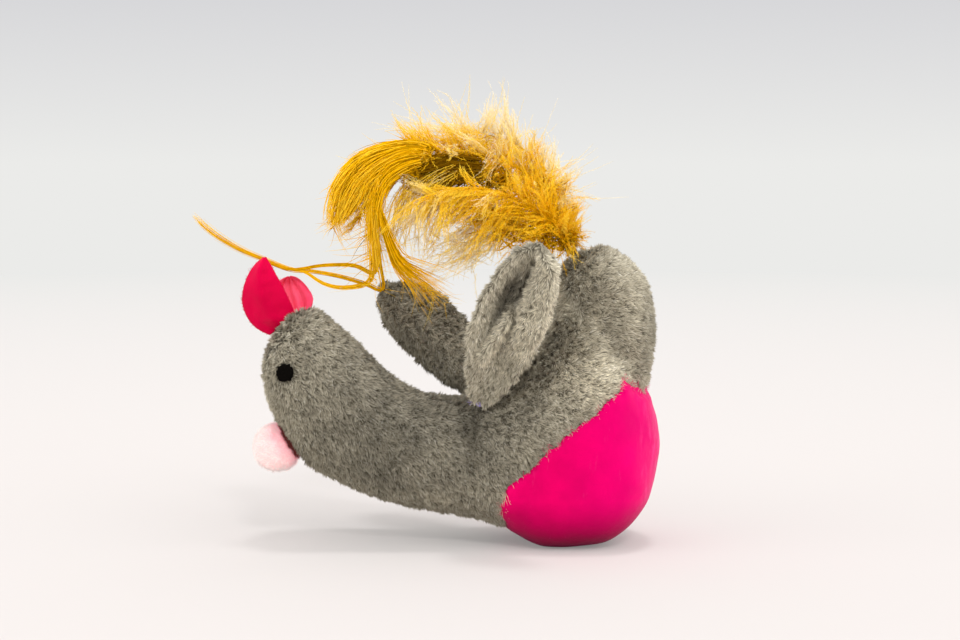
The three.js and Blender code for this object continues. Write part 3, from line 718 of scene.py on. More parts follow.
pile = pileTree()
bodyPileSizes = {
    "Density": 2.05e7, "Length": 0.0016, "Width": 0.00034, "Lean": 1.5, "Tuft": 1.7, "Tuft Size": 0.0015,
    "Seed": 4,
}

# Black felt eyes, sunk a little into the pile
eyes = {
    "place": 0.135,
    "angle": 0.557 * math.pi,
    "radius": 0.00205,
    "sink": 0.0011,
    "rise": 0.0003,
    "ragged": 0.00024,
    "turns": 96,
    "clear": (0.0019, 0.0026),
}

# The pile of one side, in a fore and a rear piece: shorter by the eye, the nose and the floor
def makeBodyPile(side, sign, places, points, normal, kept):
    step = body["comb"]["step"]
    t, angle = places[:, 0], places[:, 1]
    onward = unit(bodyPoint(np.clip(t + step, 0, 1), angle) - bodyPoint(t - step, angle))
    downward = unit(np.cross(normal, np.cross(np.array(body["comb"]["down"]), normal)))
    comb = unit(onward * body["comb"]["onward"] + downward * body["comb"]["downward"])
    # The pile's colour factor: painted light and shade along the body and in places, times random tone
    nap = shareAt(body["nap"], t) + 0.2 * cloud(points, 0.006, 1.5) + 0.1 * cloud(points, 0.0022, 6.5)
    flat = points[:, [0, 2]]
    for x, z, width, height, share in body["paintedLightAndShade"]:
        nap *= 1 + share * softSpot(flat, (x, z), (width, height))
    crown = np.zeros(len(points))
    for x, z, size, more in body["crowns"]:
        crown = np.maximum(crown, more * softSpot(flat, (x, z), size))
    eye = bodyPoint(eyes["place"], sign * eyes["angle"])
    nearEye = smoothStep(np.linalg.norm(points - eye, axis=1), *eyes["clear"])
    nose = body["nose"]
    apart = np.linalg.norm(points - np.array(nose["at"]), axis=1)
    byNose = nose["share"] + (1 - nose["share"]) * smoothStep(apart, nose["near"], nose["far"])
    lengths = nearEye * byNose * smoothStep(points[:, 2], 0.0, body["floorClear"]) * (1 + crown)
    middles = np.array([places[ring, 0].mean() for ring in kept])
    for part, low, high in (("fore", -1, body["pileParting"]), ("rear", body["pileParting"], 2)):
        rings = [ring for ring, middle in zip(kept, middles) if low <= middle < high]
        emitter = newPiece(f"{side}_{part}_pile", points, rings, bodyPile)
        growPile(emitter, bodyPileSizes, bodyPile, comb, normal, lengths, nap)
        dress(emitter, "body", "grey_plush", side + "_body_panel")


# Cloth sewn from both panels on one side: the plush with its pile, and the satin
def dressSide(side, sign):
    grid, faces = sideGrid(sign)
    gap = seamField(grid)
    for cloth, keep, material, slot, panelName in (
        ("plush", -gap, plushCloth, "grey_plush", "_body_panel"),
        ("satin", gap, bellySatin, "belly_satin", "_belly_panel"),
    ):
        columns, kept = cutWhere(np.column_stack([grid, gap]), faces, keep)
        places = columns[:, :2]
        points, normal = clothPoints(places, body[cloth + "Depth"], columns[:, 2])
        if cloth == "plush":
            makeBodyPile(side, sign, places, points, normal, kept)
        panel = newPiece(f"{side}_{cloth}_cloth", points, kept, material)
        thicken(panel, body["clothThickness"])
        dress(panel, "body", slot, side + panelName)


for side, sign in handed:
    dressSide(side, sign)
print("body dressed")

eyeFelt, kit, where = mottledMaterial(
    "eyeFelt", 0.95, 0.04, 2600, tint(3, 2, 2), tint(14, 11, 8), (5200, 2, 0.6, 0.0002)
)


def frameOf(direction):
    side = unit(np.cross([0.0, 0.0, 1.0], direction))
    return side, np.cross(direction, side)


# A closed skin of rings, given as radius and height; a ring of no radius is one point
def ringMesh(profile, turns, pointAt):
    points = []
    starts = []
    for radius, height in profile:
        starts.append(len(points))
        points += [pointAt(radius, height, turn) for turn in (turnsOf(turns) if radius else [0.0])]
    ends = starts[1:] + [len(points)]
    faces = []
    for r, (low, high) in enumerate(zip(starts, starts[1:])):
        for k in range(turns):
            n = (k + 1) % turns
            if ends[r] - low == 1:
                faces.append([low, high + n, high + k])
            elif ends[r + 1] - high == 1:
                faces.append([low + k, low + n, high])
            else:
                faces.append([low + k, low + n, high + n, high + k])
    return np.array(points), faces


def makeEye(side, sign):
    angle = sign * eyes["angle"]
    middle = bodyPoint(eyes["place"], angle)
    normal = bodyNormal(eyes["place"], angle)
    across, upward = frameOf(normal)
    sink, rise = eyes["sink"], eyes["rise"]
    profile = [(0.0, -sink), (0.8, -sink), (1.0, -sink * 0.4), (1.02, 0.0)]
    profile += [(0.94, rise * 0.6), (0.7, rise), (0.4, rise), (0.0, rise * 0.9)]

    def pointAt(share, height, turn):
        spot = Vector((math.cos(turn) * 3, math.sin(turn) * 3, sign * 3.0))
        radius = share * (eyes["radius"] + eyes["ragged"] * noise.noise(spot) * 2)
        return middle + across * radius * math.cos(turn) + upward * radius * math.sin(turn) + normal * height

    points, faces = ringMesh(profile, eyes["turns"], pointAt)
    dress(newPiece(side + "_felt_eye", points, faces, eyeFelt), "body", "eye_felt", side + "_eye")


for side, sign in handed:
    makeEye(side, sign)

# Yarn pompom for a nose: a core with fluffy ends of yarn all over it
pompom = {
    "place": 0.13,
    "radius": 0.0059,
    "stand": 0.6,
    "core": 0.0056,
    "lift": (0.0009, -0.0010, 0.0004),
    # glow and tipGlow: strengths of a painted glow of the core and of the fluff
    "glow": 0.22,
    "tipGlow": 0.5,
    "turns": 64,
    "fluff": {
        "Density": 1.5e7, "Length": 0.0008, "Width": 0.00008, "Lean": 0.5, "Tuft": 1.4, "Tuft Size": 0.0012,
        "Seed": 9,
    },
}


def yarnMaterial(name, centre, inward, scatter, glow):
    fixed = {"Subsurface Weight": scatter, "Subsurface Radius": (1.0, 0.6, 0.6), "Subsurface Scale": 0.004}
    material, kit, where = newMaterial(name, 0.95, 0.05, {**fixed, "Emission Strength": glow})
    # Pinker towards the head: painted shade where the pompom meets it; also pinker towards the root of each
    # fibre
    toHead = kit.vector("DOT_PRODUCT", kit.vector("SUBTRACT", where, tuple(centre)), tuple(inward)) * 150
    pinker = (toHead + kit.noise(where, 420, 3) * 0.6 - 0.15).clamped()
    colour = kit.mixColour(pinker, tint(255, 232, 226), tint(255, 150, 168))
    inner = kit.mixColour(0.3, colour, tint(255, 160, 176))
    colour = kit.mixColour(kit.attribute("along").ranged(0, 0.4), inner, colour)
    # A dark red-brown band where the pompom meets the head: painted shadow
    root = (toHead + kit.noise(where, 900, 2) * 0.16).ranged(0.5, 0.58)
    colour = kit.mixColour(root, colour, tint(104, 48, 46))
    kit.plug("Base Color", colour)
    # The yarn glows faintly in its own colour: painted light, emission standing for light scattered in the
    # yarn
    kit.plug("Emission Color", colour)
    kit.softenNormal(kit.attribute("skinNormal", "Vector"), 0.12)
    return material


def ballPoints(centre, radius, rows, turns):
    tilts = [math.pi * row / rows for row in range(1, rows)]
    profile = [(0.0, -1.0), *((math.sin(tilt), -math.cos(tilt)) for tilt in tilts), (0.0, 1.0)]

    def pointAt(out, height, turn):
        return centre + radius * np.array([out * math.cos(turn), out * math.sin(turn), height])

    return ringMesh(profile, turns, pointAt)


def makePompom():
    seat = bodyPoint(pompom["place"], 0.0)
    normal = bodyNormal(pompom["place"], 0.0)
    centre = seat + normal * pompom["radius"] * pompom["stand"] + np.array(pompom["lift"])
    points, faces = ballPoints(centre, pompom["core"], pompom["turns"] // 2, pompom["turns"])
    outward = unit(points - centre)
    points += outward * (0.0002 * cloud(points, 0.0026, 2.0) + 0.0001 * cloud(points, 0.0009, 7.0))[:, None]
    yarn = yarnMaterial("pompomYarn", centre, -normal, 0.0, pompom["tipGlow"])
    heart = yarnMaterial("pompomHeart", centre, -normal, 1.0, pompom["glow"])
    core = newPiece("pompom_core", points, faces, heart)
    storeValues(core.data, skinNormal=outward)
    fluff = newPiece("pompom_fluff", points, faces, yarn)
    comb = unit(np.cross(outward, [0.3, 0.5, 0.8]))
    even = np.ones(len(points))
    growPile(fluff, pompom["fluff"], yarn, comb, outward, even, even)
    for piece in (core, fluff):
        dress(piece, "body", "pompom_yarn", "nose_pompom")


makePompom()
print("eyes and pompom made")

# Wings: two plush leaves sewn edge to edge, with a valley along them and a fold across
wings = {
    "place": 0.422,
    "angle": 0.82 * math.pi,
    "tack": 0.0014,
    "rise": -0.0004,
    "length": 0.0433,
    "width": 0.018,
    "fold": 0.0052,
    "plump": 0.00135,
    "splay": math.radians(22),
    "lean": {"left": math.radians(-20), "right": math.radians(45)},
    "curl": {"left": 0.0, "right": 0.6},
    # The near wing's pile painted lighter and the far wing's darker: painted light and shade
    "nap": {"left": 1.3, "right": 0.85},
    "ahead": {
        "left": [
            [0, 0.2], [0.08, 0.38], [0.22, 0.64], [0.42, 0.9], [0.62, 0.92], [0.8, 0.76],
            [0.92, 0.56], [1, 0.22],
        ],
        "right": [
            [0, 0.2], [0.08, 0.36], [0.22, 0.56], [0.42, 0.68], [0.62, 0.74], [0.8, 0.72],
            [0.92, 0.54], [1, 0.14],
        ],
    },
    "behind": {
        "left": [
            [0, 0.2], [0.08, 0.38], [0.22, 0.6], [0.42, 0.78], [0.62, 0.84], [0.8, 0.76],
            [0.92, 0.6], [1, 0.24],
        ],
        "right": [
            [0, 0.2], [0.08, 0.42], [0.22, 0.76], [0.42, 1], [0.62, 0.98], [0.8, 0.84],
            [0.92, 0.58], [1, 0.14],
        ],
    },
    "rows": 84,
    "columns": 56,
    "wall": 0.0004,
    "valley": -0.0034,
    "lip": 0.0034,
    "ridge": 0.0034,
    "hollow": -0.0038,
    "backCrumple": 0.55,
    "opened": 1.15,
    "leafShare": 0.76,
    "pile": {
        "Density": 2.1e7, "Length": 0.0016, "Width": 0.00032, "Lean": 1.3, "Tuft": 1.7, "Tuft Size": 0.0014,
        "Seed": 21,
    },
}


# Directions of a leaf that stands on a pivot: along it, across it and out of its outer face
def leafFrame(lean, splay, outwards):
    direction = np.array([-math.sin(lean), 0, math.cos(lean)]) * math.cos(splay) + outwards * math.sin(splay)
    face = unit(outwards - direction * float(outwards @ direction))
    return direction, np.cross(face, direction), face


def wingShare(side, s, v):
    ahead = shareAt(wings["ahead"][side], s)
    behind = shareAt(wings["behind"][side], s)
    return np.where(v > 0, ahead, behind)


# The cup of both leaves, and the valley, lip, ridge and hollow of the front one
def wingHeights(share, s, v):
    cup = wings["fold"] * v * v * share
    inner = smoothStep(s, 0.38, 0.6) * (1 - smoothStep(s, 0.9, 1.0))
    valley = wings["valley"] * hill(v, -0.02 - 0.55 * (0.78 - s) ** 2, 0.12) * inner
    edge = smoothStep(-v, 0.08, 0.36) * (1 - smoothStep(-v, 0.8, 1.0))
    lip = wings["lip"] * edge * smoothStep(s, 0.3, 0.6)
    middle = smoothStep(s, 0.2, 0.34) * (1 - smoothStep(s, 0.6, 0.7))
    ridge = wings["ridge"] * hill(v, -0.12 + (0.66 - s) * 1.65, 0.16) * middle
    hollow = wings["hollow"] * hill(v, 0.38, 0.26) * hill(s, 0.66, 0.17)
    return cup, valley + lip + ridge + hollow


def makeWing(side, sign):
    outwards = np.array([0.0, -float(sign), 0.0])
    angle = sign * wings["angle"]
    pivot = bodyPoint(wings["place"], angle) + bodyNormal(wings["place"], angle) * wings["tack"]
    direction, across, face = leafFrame(wings["lean"][side], wings["splay"], outwards)
    rows, columns = wings["rows"], wings["columns"]
    v = np.sin(np.linspace(-1, 1, columns) * math.pi / 2)
    s, v = np.meshgrid(np.linspace(0, 1, rows), v, indexing="ij")
    cup, crumple = wingHeights(wingShare(side, s, v), s, v)
    share = wingShare(side, s, v) * np.sqrt(np.clip(1 - smoothStep(s, 0.94, 1.0) * 0.75, 0, 1))
    rim = np.sqrt(np.clip(1 - v**4, 0, 1)) * np.clip(share * 3, 0, 1)
    bend = wings["curl"][side] * smoothStep(s, 0.25, 1.0)[..., None]
    heading = np.cos(bend) * direction + np.sin(bend) * face
    outFace = np.cos(bend) * face - np.sin(bend) * direction
    spine = pivot + direction * wings["rise"] + np.cumsum(heading, axis=0) * wings["length"] / (rows - 1)
    flat = spine + (sign * v * share * wings["width"] / 2)[..., None] * across
    faces = gridFaces(rows, columns)
    # Painted shade in the valley, the hollow and the lower part of the front leaf, and painted light on its
    # lip and ridge
    shade = 1 + np.clip(crumple * 300, -0.6, 0.22) - 0.14 * smoothStep(0.5 - s, 0.1, 0.4)
    for layer, level in (("front", 1), ("back", -1)):
        wrinkle = crumple if level > 0 else crumple * wings["backCrumple"]
        height = cup + wrinkle + level * wings["plump"] * rim
        points = (flat + height[..., None] * outFace).reshape(-1, 3)
        points += face * (0.00025 * cloud(points, 0.004, 4.0 + level))[:, None]
        turned = [ring[::-1] for ring in faces] if level * sign > 0 else faces
        sheet = newPiece(f"{side}_wing_{layer}_cloth", points, turned, plushCloth)
        skin = np.zeros(len(points) * 3)
        sheet.data.vertices.foreach_get("normal", skin)
        skin = skin.reshape(-1, 3)
        emitter = newPiece(f"{side}_wing_{layer}_pile", points, turned, bodyPile)
        rootward = -direction + across * 0.25 * np.sign(v.reshape(-1, 1))
        comb = unit(rootward - skin * (rootward * skin).sum(1, keepdims=True))
        nap = wings["nap"][side] * (shade.ravel() if level > 0 else 1)
        nap = nap * (1 + 0.14 * cloud(points, 0.005, 2.5))
        growPile(emitter, wings["pile"], bodyPile, comb, skin, np.ones(len(points)), nap)
        thicken(sheet, wings["wall"])
        for piece in (sheet, emitter):
            dress(piece, f"{side}_wing", "grey_plush", f"{side}_wing_{layer}")


for side, sign in handed:
    makeWing(side, sign)
print("wings made")


# Feathers: barbs are lines, and the tree gives each its ribbon and its barbules
def strandTree():
    kit, given = newTree("strandTree", ("Barbule Pitch", "Barbule Width", "Forward"), ("Sides", "Seed"))
    fluff = kit.named("fluff")
    lines = kit.add("GeometryNodeMeshToCurve", {}, {"Mesh": given})
    values = {"Resolution": given.out("Sides"), "Radius": 1.0}
    section = kit.add("GeometryNodeCurvePrimitiveCircle", {"mode": "RADIUS"}, values)
    values = {"Curve": lines, "Profile Curve": section, "Scale": kit.named("halfWidth")}
    ribbons = kit.add("GeometryNodeCurveToMesh", {}, values)
    values = {"Curve": lines, "Length": given.out("Barbule Pitch")}
    spots = kit.add("GeometryNodeCurveToPoints", {"mode": "LENGTH"}, values)
    tangent = spots.out("Tangent")
    outward = kit.vector("CROSS_PRODUCT", tangent, kit.chanceVector(1.0, given.out("Seed")))
    heading = kit.vector("ADD", kit.vector("NORMALIZE", outward), kit.scaled(tangent, given.out("Forward")))
    size = kit.add("ShaderNodeCombineXYZ", {}, [1.0, 1.0, kit.chance(0.55, 1.2, 5) * fluff])
    blade = kit.blade(given.out("Barbule Width"), 1.0, "barbule", lambda height: height * 0.7 + 0.3)
    values = {"Points": spots, "Instance": blade, "Rotation": kit.pointedAt(heading), "Scale": size}
    values["Selection"] = fluff.calc("GREATER_THAN", 0.00005)
    hairs = kit.add("GeometryNodeInstanceOnPoints", {}, values)
    joined = kit.add("GeometryNodeJoinGeometry")
    for part in (ribbons, hairs):
        kit.tree.links.new(part.socket, joined.socket.node.inputs[0])
    kit.handOut(joined, given)
    return kit.tree


strands = strandTree()
down = {"Barbule Pitch": 0.00022, "Barbule Width": 0.000088, "Forward": 0.9, "Sides": 3, "Seed": 2}


def featherMaterial(name, *shades):
    material, kit, where = newMaterial(name, 0.8, 0.04)
    kit.softenNormal((-0.1, -0.45, 0.88), 0.65)
    tone = kit.attribute("tone") + kit.attribute("barbule") * 0.16 + kit.noise(where, 500, 2) * 0.3 - 0.15
    kit.plug("Base Color", kit.ramp(tone.clamped(), list(zip((0.0, 0.35, 0.7, 1.0), shades))))
    return material


featherOrange = featherMaterial(
    "featherOrange", tint(124, 86, 0), tint(252, 189, 0), tint(255, 216, 62), tint(255, 236, 186)
)

tail = {
    "seat": 0.886,
    "tack": 0.0009,
    "gap": 0.0003,
    "binding": 0.0026,
    "reach": 0.0576,
    "rise": 0.0365,
    "fan": 0.12,
}
tailSeat = bodyPoint(tail["seat"], math.pi)
tailNormal = bodyNormal(tail["seat"], math.pi)
tailPivot = tailSeat + tailNormal * (tail["tack"] + tail["gap"])
quillFoot = tailPivot + tailNormal * (tail["tack"] + tail["gap"])
bindingTop = quillFoot + tailNormal * tail["binding"]


# A feather's shaft from its quill through its route, in shares of the tail's reach and rise
def shaftPoints(route, sideways, count=120):
    points = [quillFoot, bindingTop]
    points += [tailSeat + np.array([x * tail["reach"], 0, z * tail["rise"]]) for x, z in route]
    fine = pathAt(points, np.linspace(0, 1, 500))
    gone = np.concatenate([[0], np.cumsum(np.linalg.norm(np.diff(fine, axis=0), axis=1))])
    even = np.linspace(0, gone[-1], count)
    line = np.stack([np.interp(even, gone, fine[:, axis]) for axis in range(3)], -1)
    line[:, 1] = sideways * smoothStep(even / gone[-1], 0.03, 0.03 + tail["fan"])
    return line


# A line for the strand tree: its points, its half width and how pale and how fluffy it is
def strand(points, width, tone=0.0, fluff=0.0):
    return {"points": points, "width": width, "tone": tone, "fluff": fluff}


# Points along a way that bends off to one side; the shift is the share of it that lies before the start
def curling(start, way, turn, count, shift=0.0):
    return [start + way * (share - shift) + turn * share**2 for share in np.linspace(0, 1, count)]


# Tufts of barbs: each leaves the shaft over a short stretch, swells and draws together towards its own tip
def plumeLines(plume, seed):
    rng = np.random.default_rng(seed)
    shaft = shaftPoints(plume["route"], plume["sideways"])
    along = unit(np.gradient(shaft, axis=0))
    last = len(shaft) - 1
    lines = []
    for k in range(plume["tufts"]):
        s = plume["bare"] + (1 - plume["bare"]) * (k + rng.random()) / plume["tufts"]
        index = min(int(s * last), last)
        tangent = along[index]
        outside = unit(np.array([tangent[2], 0, -tangent[0]]))
        side = 1 if rng.random() < valueAt(plume["outerShare"], s) else -1
        swing = rng.normal(0, plume["spreadAround"])
        radial = side * outside * math.cos(swing) + np.array([0, math.sin(swing), 0])
        reach = valueAt(plume["outer"] if side > 0 else plume["inner"], s) * rng.uniform(0.6, 1.3)
        lean = valueAt(plume["lean"], s) + rng.normal(0, 0.4)
        heading = tangent * math.sin(lean) + radial * math.cos(lean)
        bend = unit(tangent * rng.uniform(-0.3, 1.0) + rng.normal(0, 0.45, 3))
        middle = shaft[index] + heading * reach * 0.55
        tip = shaft[index] + heading * reach + bend * reach * plume["curl"] * rng.uniform(0.2, 1.0)
        tone = valueAt(plume["tone"], s) + rng.normal(0, 0.1) + (plume["outerPale"] if side > 0 else 0)
        for barb in range(plume["barbs"]):
            foot = np.clip(s + rng.normal(0, plume["foot"]), plume["bare"] * 0.6, 1)
            start = shaft[int(foot * last)]
            control = middle + rng.normal(0, plume["swell"] * reach, 3)
            end = tip + rng.normal(0, plume["loose"] * reach, 3)
            far = rng.uniform(0.5, 1.05)
            wave = rng.uniform(0, 6.28, 3)
            points = []
            for share in np.linspace(0, far, plume["steps"] + 1):
                point = start * (1 - share) ** 2 + control * 2 * share * (1 - share) + end * share**2
                points.append(point + plume["wave"] * share * np.sin(wave + share * 11))
            fluff = valueAt(plume["fluff"], s) * rng.uniform(0.6, 1.2)
            lines.append(strand(points, plume["barbWidth"], tone + rng.normal(0, 0.06), fluff))
    lines.append(strand(list(shaft[::3]), plume["shaftWidth"], 0.2))
    return lines


# The line of a path given in millimetres, its direction and the way across it
def finePath(way, rows=160):
    path = [[x / 1000, way["y"] / 1000, z / 1000] for x, z in way["path"]]
    fine = pathAt(path, np.linspace(0, 1, rows))
    if "yEnd" in way:
        fine[:, 1] += (way["yEnd"] - way["y"]) / 1000 * smoothStep(np.linspace(0, 1, rows), 0.3, 1.0)
    along = unit(np.gradient(fine, axis=0))
    return fine, along, np.stack([along[:, 2], np.zeros(rows), -along[:, 0]], -1)


# Loose hairs that leave a path at a slant and curl away
def hairLines(hair, seed):
    rng = np.random.default_rng(seed)
    fine, along, across = finePath(hair)
    lines = []
    for k in range(hair["count"]):
        index = int(rng.uniform(*hair["span"]) * (len(fine) - 1))
        tangent = along[index] * rng.choice(hair["ways"])
        outside = across[index] * rng.choice(hair["sides"])
        heading = unit(tangent + outside * rng.uniform(*hair["slant"]) + np.array([0, rng.normal(0, 0.3), 0]))
        turn = outside * rng.normal(0.2, 1) + tangent * rng.normal(0, 0.6)
        turn = unit(turn + np.array([0, rng.normal(0, 0.4), 0]))
        reach = rng.uniform(*hair["reach"]) / 1000
        points = curling(fine[index], heading * reach, turn * reach * hair["curl"], 9)
        lines.append(strand(points, hair["width"], hair["tone"] + rng.normal(0, 0.1), hair["fluff"]))
    return lines


# Strands that run together along a path and part at their tips
def lockLines(lock, seed):
    rng = np.random.default_rng(seed)
    fine, along, sideways = finePath(lock)
    last = len(fine) - 1
    lines = []
    for k in range(lock["count"]):
        start = rng.uniform(*lock["starts"])
        end = rng.uniform(*lock["ends"])
        across = rng.uniform(-1, 1)
        deep = rng.uniform(-1, 1)
        wild = rng.normal(0, lock["wild"], 2)
        wave = rng.uniform(0, 6.28, 2)
        points = []
        for share in np.arange(lock["steps"] + 1) / lock["steps"]:
            s = start + (end - start) * share
            index = min(int(s * last), last)
            half = valueAt(lock["halfWidth"], s) / 1000
            outside = sideways[index]
            thick = half * lock["depth"] * (deep + 0.2 * math.sin(wave[1] + share * 4))
            shift = outside * half * (across + 0.10 * math.sin(wave[0] + share * 5)) + np.array([0, thick, 0])
            shift = shift + (outside * wild[0] + np.array([0, wild[1], 0])) * share**2
            points.append(fine[index] + shift)
        lines.append(strand(points, lock["width"], lock["tone"] + rng.normal(0, 0.09), lock["fluff"]))
    return lines


# One mesh of many lines, with how thick, how fluffy and how pale each one is
def linePiece(name, lines, material, barbules, owner, slot, node=None):
    points, edges, widths, fluffs, tones = [], [], [], [], []
    for line in lines:
        first = len(points)
        count = len(line["points"])
        for n, point in enumerate(line["points"]):
            share = n / (count - 1)
            points.append(tuple(point))
            widths.append(line["width"] * (1 - 0.85 * share**2))
            fluffs.append(line["fluff"] * (0.35 + 0.65 * math.sin(math.pi * (0.15 + 0.85 * share))))
            tones.append(line["tone"] + 0.22 * share)
        edges += [(first + n, first + n + 1) for n in range(count - 1)]
    mesh = bpy.data.meshes.new(name)
    mesh.from_pydata(points, edges, [])
    mesh.materials.append(material)
    piece = placed(name, mesh)
    storeValues(mesh, halfWidth=widths, fluff=fluffs, tone=tones)
    grow(piece, strands, {**down, **barbules, "Material": material})
    dress(piece, owner, slot, node)
    print(name, len(piece.data.polygons), "faces")
    return piece


def featherPiece(name, lines, seed, slot, node):
    linePiece(name, lines, featherOrange, {"Seed": seed}, "tail", slot, node)


# A piece of locks and hairs, each with its own seed
def lockPiece(name, locks, hairs, firstSeed, seed, slot, node):
    lines = []
    for k, lock in enumerate(locks):
        lines += lockLines(lock, firstSeed + k)
    for k, hair in enumerate(hairs):
        lines += hairLines(hair, firstSeed + 10 + k)
    featherPiece(name, lines, seed, slot, node)


middlePlume = {
    "route": [
        [-0.05, 0.23], [-0.117, 0.408], [-0.229, 0.559], [-0.367, 0.645], [-0.504, 0.658],
        [-0.637, 0.592], [-0.754, 0.487], [-0.854, 0.342], [-0.921, 0.171],
    ],
    "sideways": 0.0,
    "tufts": 80,
    "barbs": 14,
    "foot": 0.025,
    "swell": 0.16,
    "loose": 0.09,
    "bare": 0.03,
    "outerShare": [[0, 0.6], [1, 0.6]],
    "outer": [
        [0.05, 0.005], [0.2, 0.009], [0.35, 0.009], [0.5, 0.009], [0.62, 0.010], [0.8, 0.007], [1, 0.004],
    ],
    "inner": [[0.05, 0.006], [0.3, 0.010], [0.5, 0.008], [0.7, 0.006], [1, 0.005]],
    "lean": [[0.05, 0.5], [0.3, 0.35], [0.5, 0.3], [0.7, 0.7], [1, 1.1]],
    "spreadAround": 0.7,
    "curl": 0.6,
    "steps": 8,
    "barbWidth": 0.00006,
    "shaftWidth": 0.0002,
    "wave": 0.00022,
    "fluff": [[0.05, 0.0009], [0.4, 0.0010], [0.6, 0.0008], [0.8, 0.0003], [1, 0.0002]],
    "tone": [[0.05, 0.28], [0.3, 0.34], [0.5, 0.34], [0.7, 0.3], [1, 0.3]],
    "outerPale": 0.16,
}
nearPlume = {
    **middlePlume,
    "route": [
        [-0.0625, 0.158], [-0.1375, 0.276], [-0.254, 0.375], [-0.3875, 0.434], [-0.504, 0.434],
        [-0.604, 0.382],
    ],
    "sideways": -0.006,
    "tufts": 74,
    "barbs": 13,
    "outerShare": [[0, 0.6], [0.4, 0.5], [0.6, 0.15], [1, 0.1]],
    "outer": [[0.05, 0.006], [0.3, 0.010], [0.6, 0.007], [1, 0.006]],
    "inner": [[0.05, 0.006], [0.3, 0.012], [0.6, 0.013], [1, 0.011]],
    "lean": [[0.05, 0.6], [0.5, 0.4], [1, 0.7]],
    "fluff": [[0.05, 0.0009], [1, 0.0009]],
    "tone": [[0.05, 0.24], [0.3, 0.3], [0.7, 0.4], [1, 0.55]],
    "outerPale": 0.0,
}
farPlume = {
    **middlePlume,
    "route": [[-0.05, 0.24], [-0.075, 0.43], [-0.14, 0.6], [-0.25, 0.72], [-0.385, 0.79], [-0.51, 0.8]],
    "sideways": 0.006,
    "tufts": 46,
    "outer": [[0.05, 0.004], [0.3, 0.006], [0.5, 0.007], [0.65, 0.009], [0.85, 0.012], [1, 0.010]],
    "inner": [[0.05, 0.006], [0.4, 0.012], [1, 0.011]],
    "lean": [[0.05, 0.6], [0.4, 0.35], [0.8, 0.3], [1, 0.6]],
    "fluff": [[0.05, 0.0009], [1, 0.0009]],
    "tone": [[0.05, 0.3], [0.4, 0.4], [1, 0.5]],
    "outerPale": 0.4,
}
featherPiece("middle_plume_barbs", plumeLines(middlePlume, 11), 2, "orange_down", "tail_middle_plume")
featherPiece("near_plume_barbs", plumeLines(nearPlume, 12), 2, "orange_down", "tail_near_plume")
featherPiece("far_plume_barbs", plumeLines(farPlume, 13), 2, "orange_down", "tail_far_plume")

# The long hackle: a web at the end of the arch that parts into locks; the last lock fills it
hackleLock = {
    "starts": (0.0, 0.4), "ends": (0.6, 1.0), "steps": 9, "wild": 0.0013, "depth": 0.5, "width": 0.00013,
    "fluff": 0.0,
}
hackleWeb = {
    **hackleLock, "y": -3.6, "count": 480, "starts": (0.0, 0.6), "ends": (0.5, 1.02), "depth": 0.35,
    "tone": 0.3,
    "path": [
        [1.0, 94.0], [-2.5, 94.4], [-7.0, 93.4], [-12.0, 91.0], [-16.2, 87.4], [-18.8, 82.8], [-20.6, 78.4],
        [-21.8, 75.2],
    ],
    "halfWidth": [[0, 1.2], [0.25, 2.4], [0.5, 3.9], [0.7, 3.7], [0.85, 2.2], [1, 0.3]],
}
hackleLocks = [
    hackleWeb,
    {
        **hackleLock, "y": -3.2, "count": 170, "tone": 0.2, "wild": 0.0014, "depth": 0.6,
        "path": [[-0.5, 91.8], [-4.0, 91.0], [-9.0, 88.8], [-12.0, 85.5], [-13.6, 82.0], [-16.5, 79.5]],
        "halfWidth": [[0, 1.2], [0.4, 2.2], [0.8, 1.6], [1, 0.5]],
    },
    {
        **hackleLock, "y": -4.2, "count": 190, "starts": (0.05, 0.5), "steps": 12, "width": 0.00011,
        "tone": 0.28,
        "path": [
            [0.5, 91.9], [-3.7, 91.0], [-8.5, 88.4], [-11.4, 83.5], [-12.4, 77.5],
            [-11.9, 70.3], [-11.2, 61.2],
        ],
        "halfWidth": [[0, 1.0], [0.3, 2.2], [0.5, 1.5], [0.75, 1.0], [1, 1.6]],
    },
    {
        **hackleLock, "y": -4.6, "count": 150, "starts": (0.0, 0.3), "ends": (0.76, 1.0), "steps": 12,
        "tone": 0.16,
        "path": [
            [-9.0, 88.0], [-11.2, 84.0], [-11.2, 80.4], [-9.0, 73.9], [-6.1, 67.4], [-1.3, 63.2], [5.6, 57.2],
        ],
        "halfWidth": [[0, 0.8], [0.3, 0.7], [0.6, 0.8], [0.8, 2.2], [1, 5.0]],
    },
    {
        **hackleWeb, "y": -3.0, "count": 90, "starts": (0.0, 0.2), "ends": (0.7, 0.98), "depth": 0.1,
        "wild": 0.0003, "width": 0.0004, "tone": 0.26,
    },
]
hackleHair = {"span": (0.0, 1.0), "ways": (1,), "sides": (1, -1), "width": 0.00005, "fluff": 0.0}
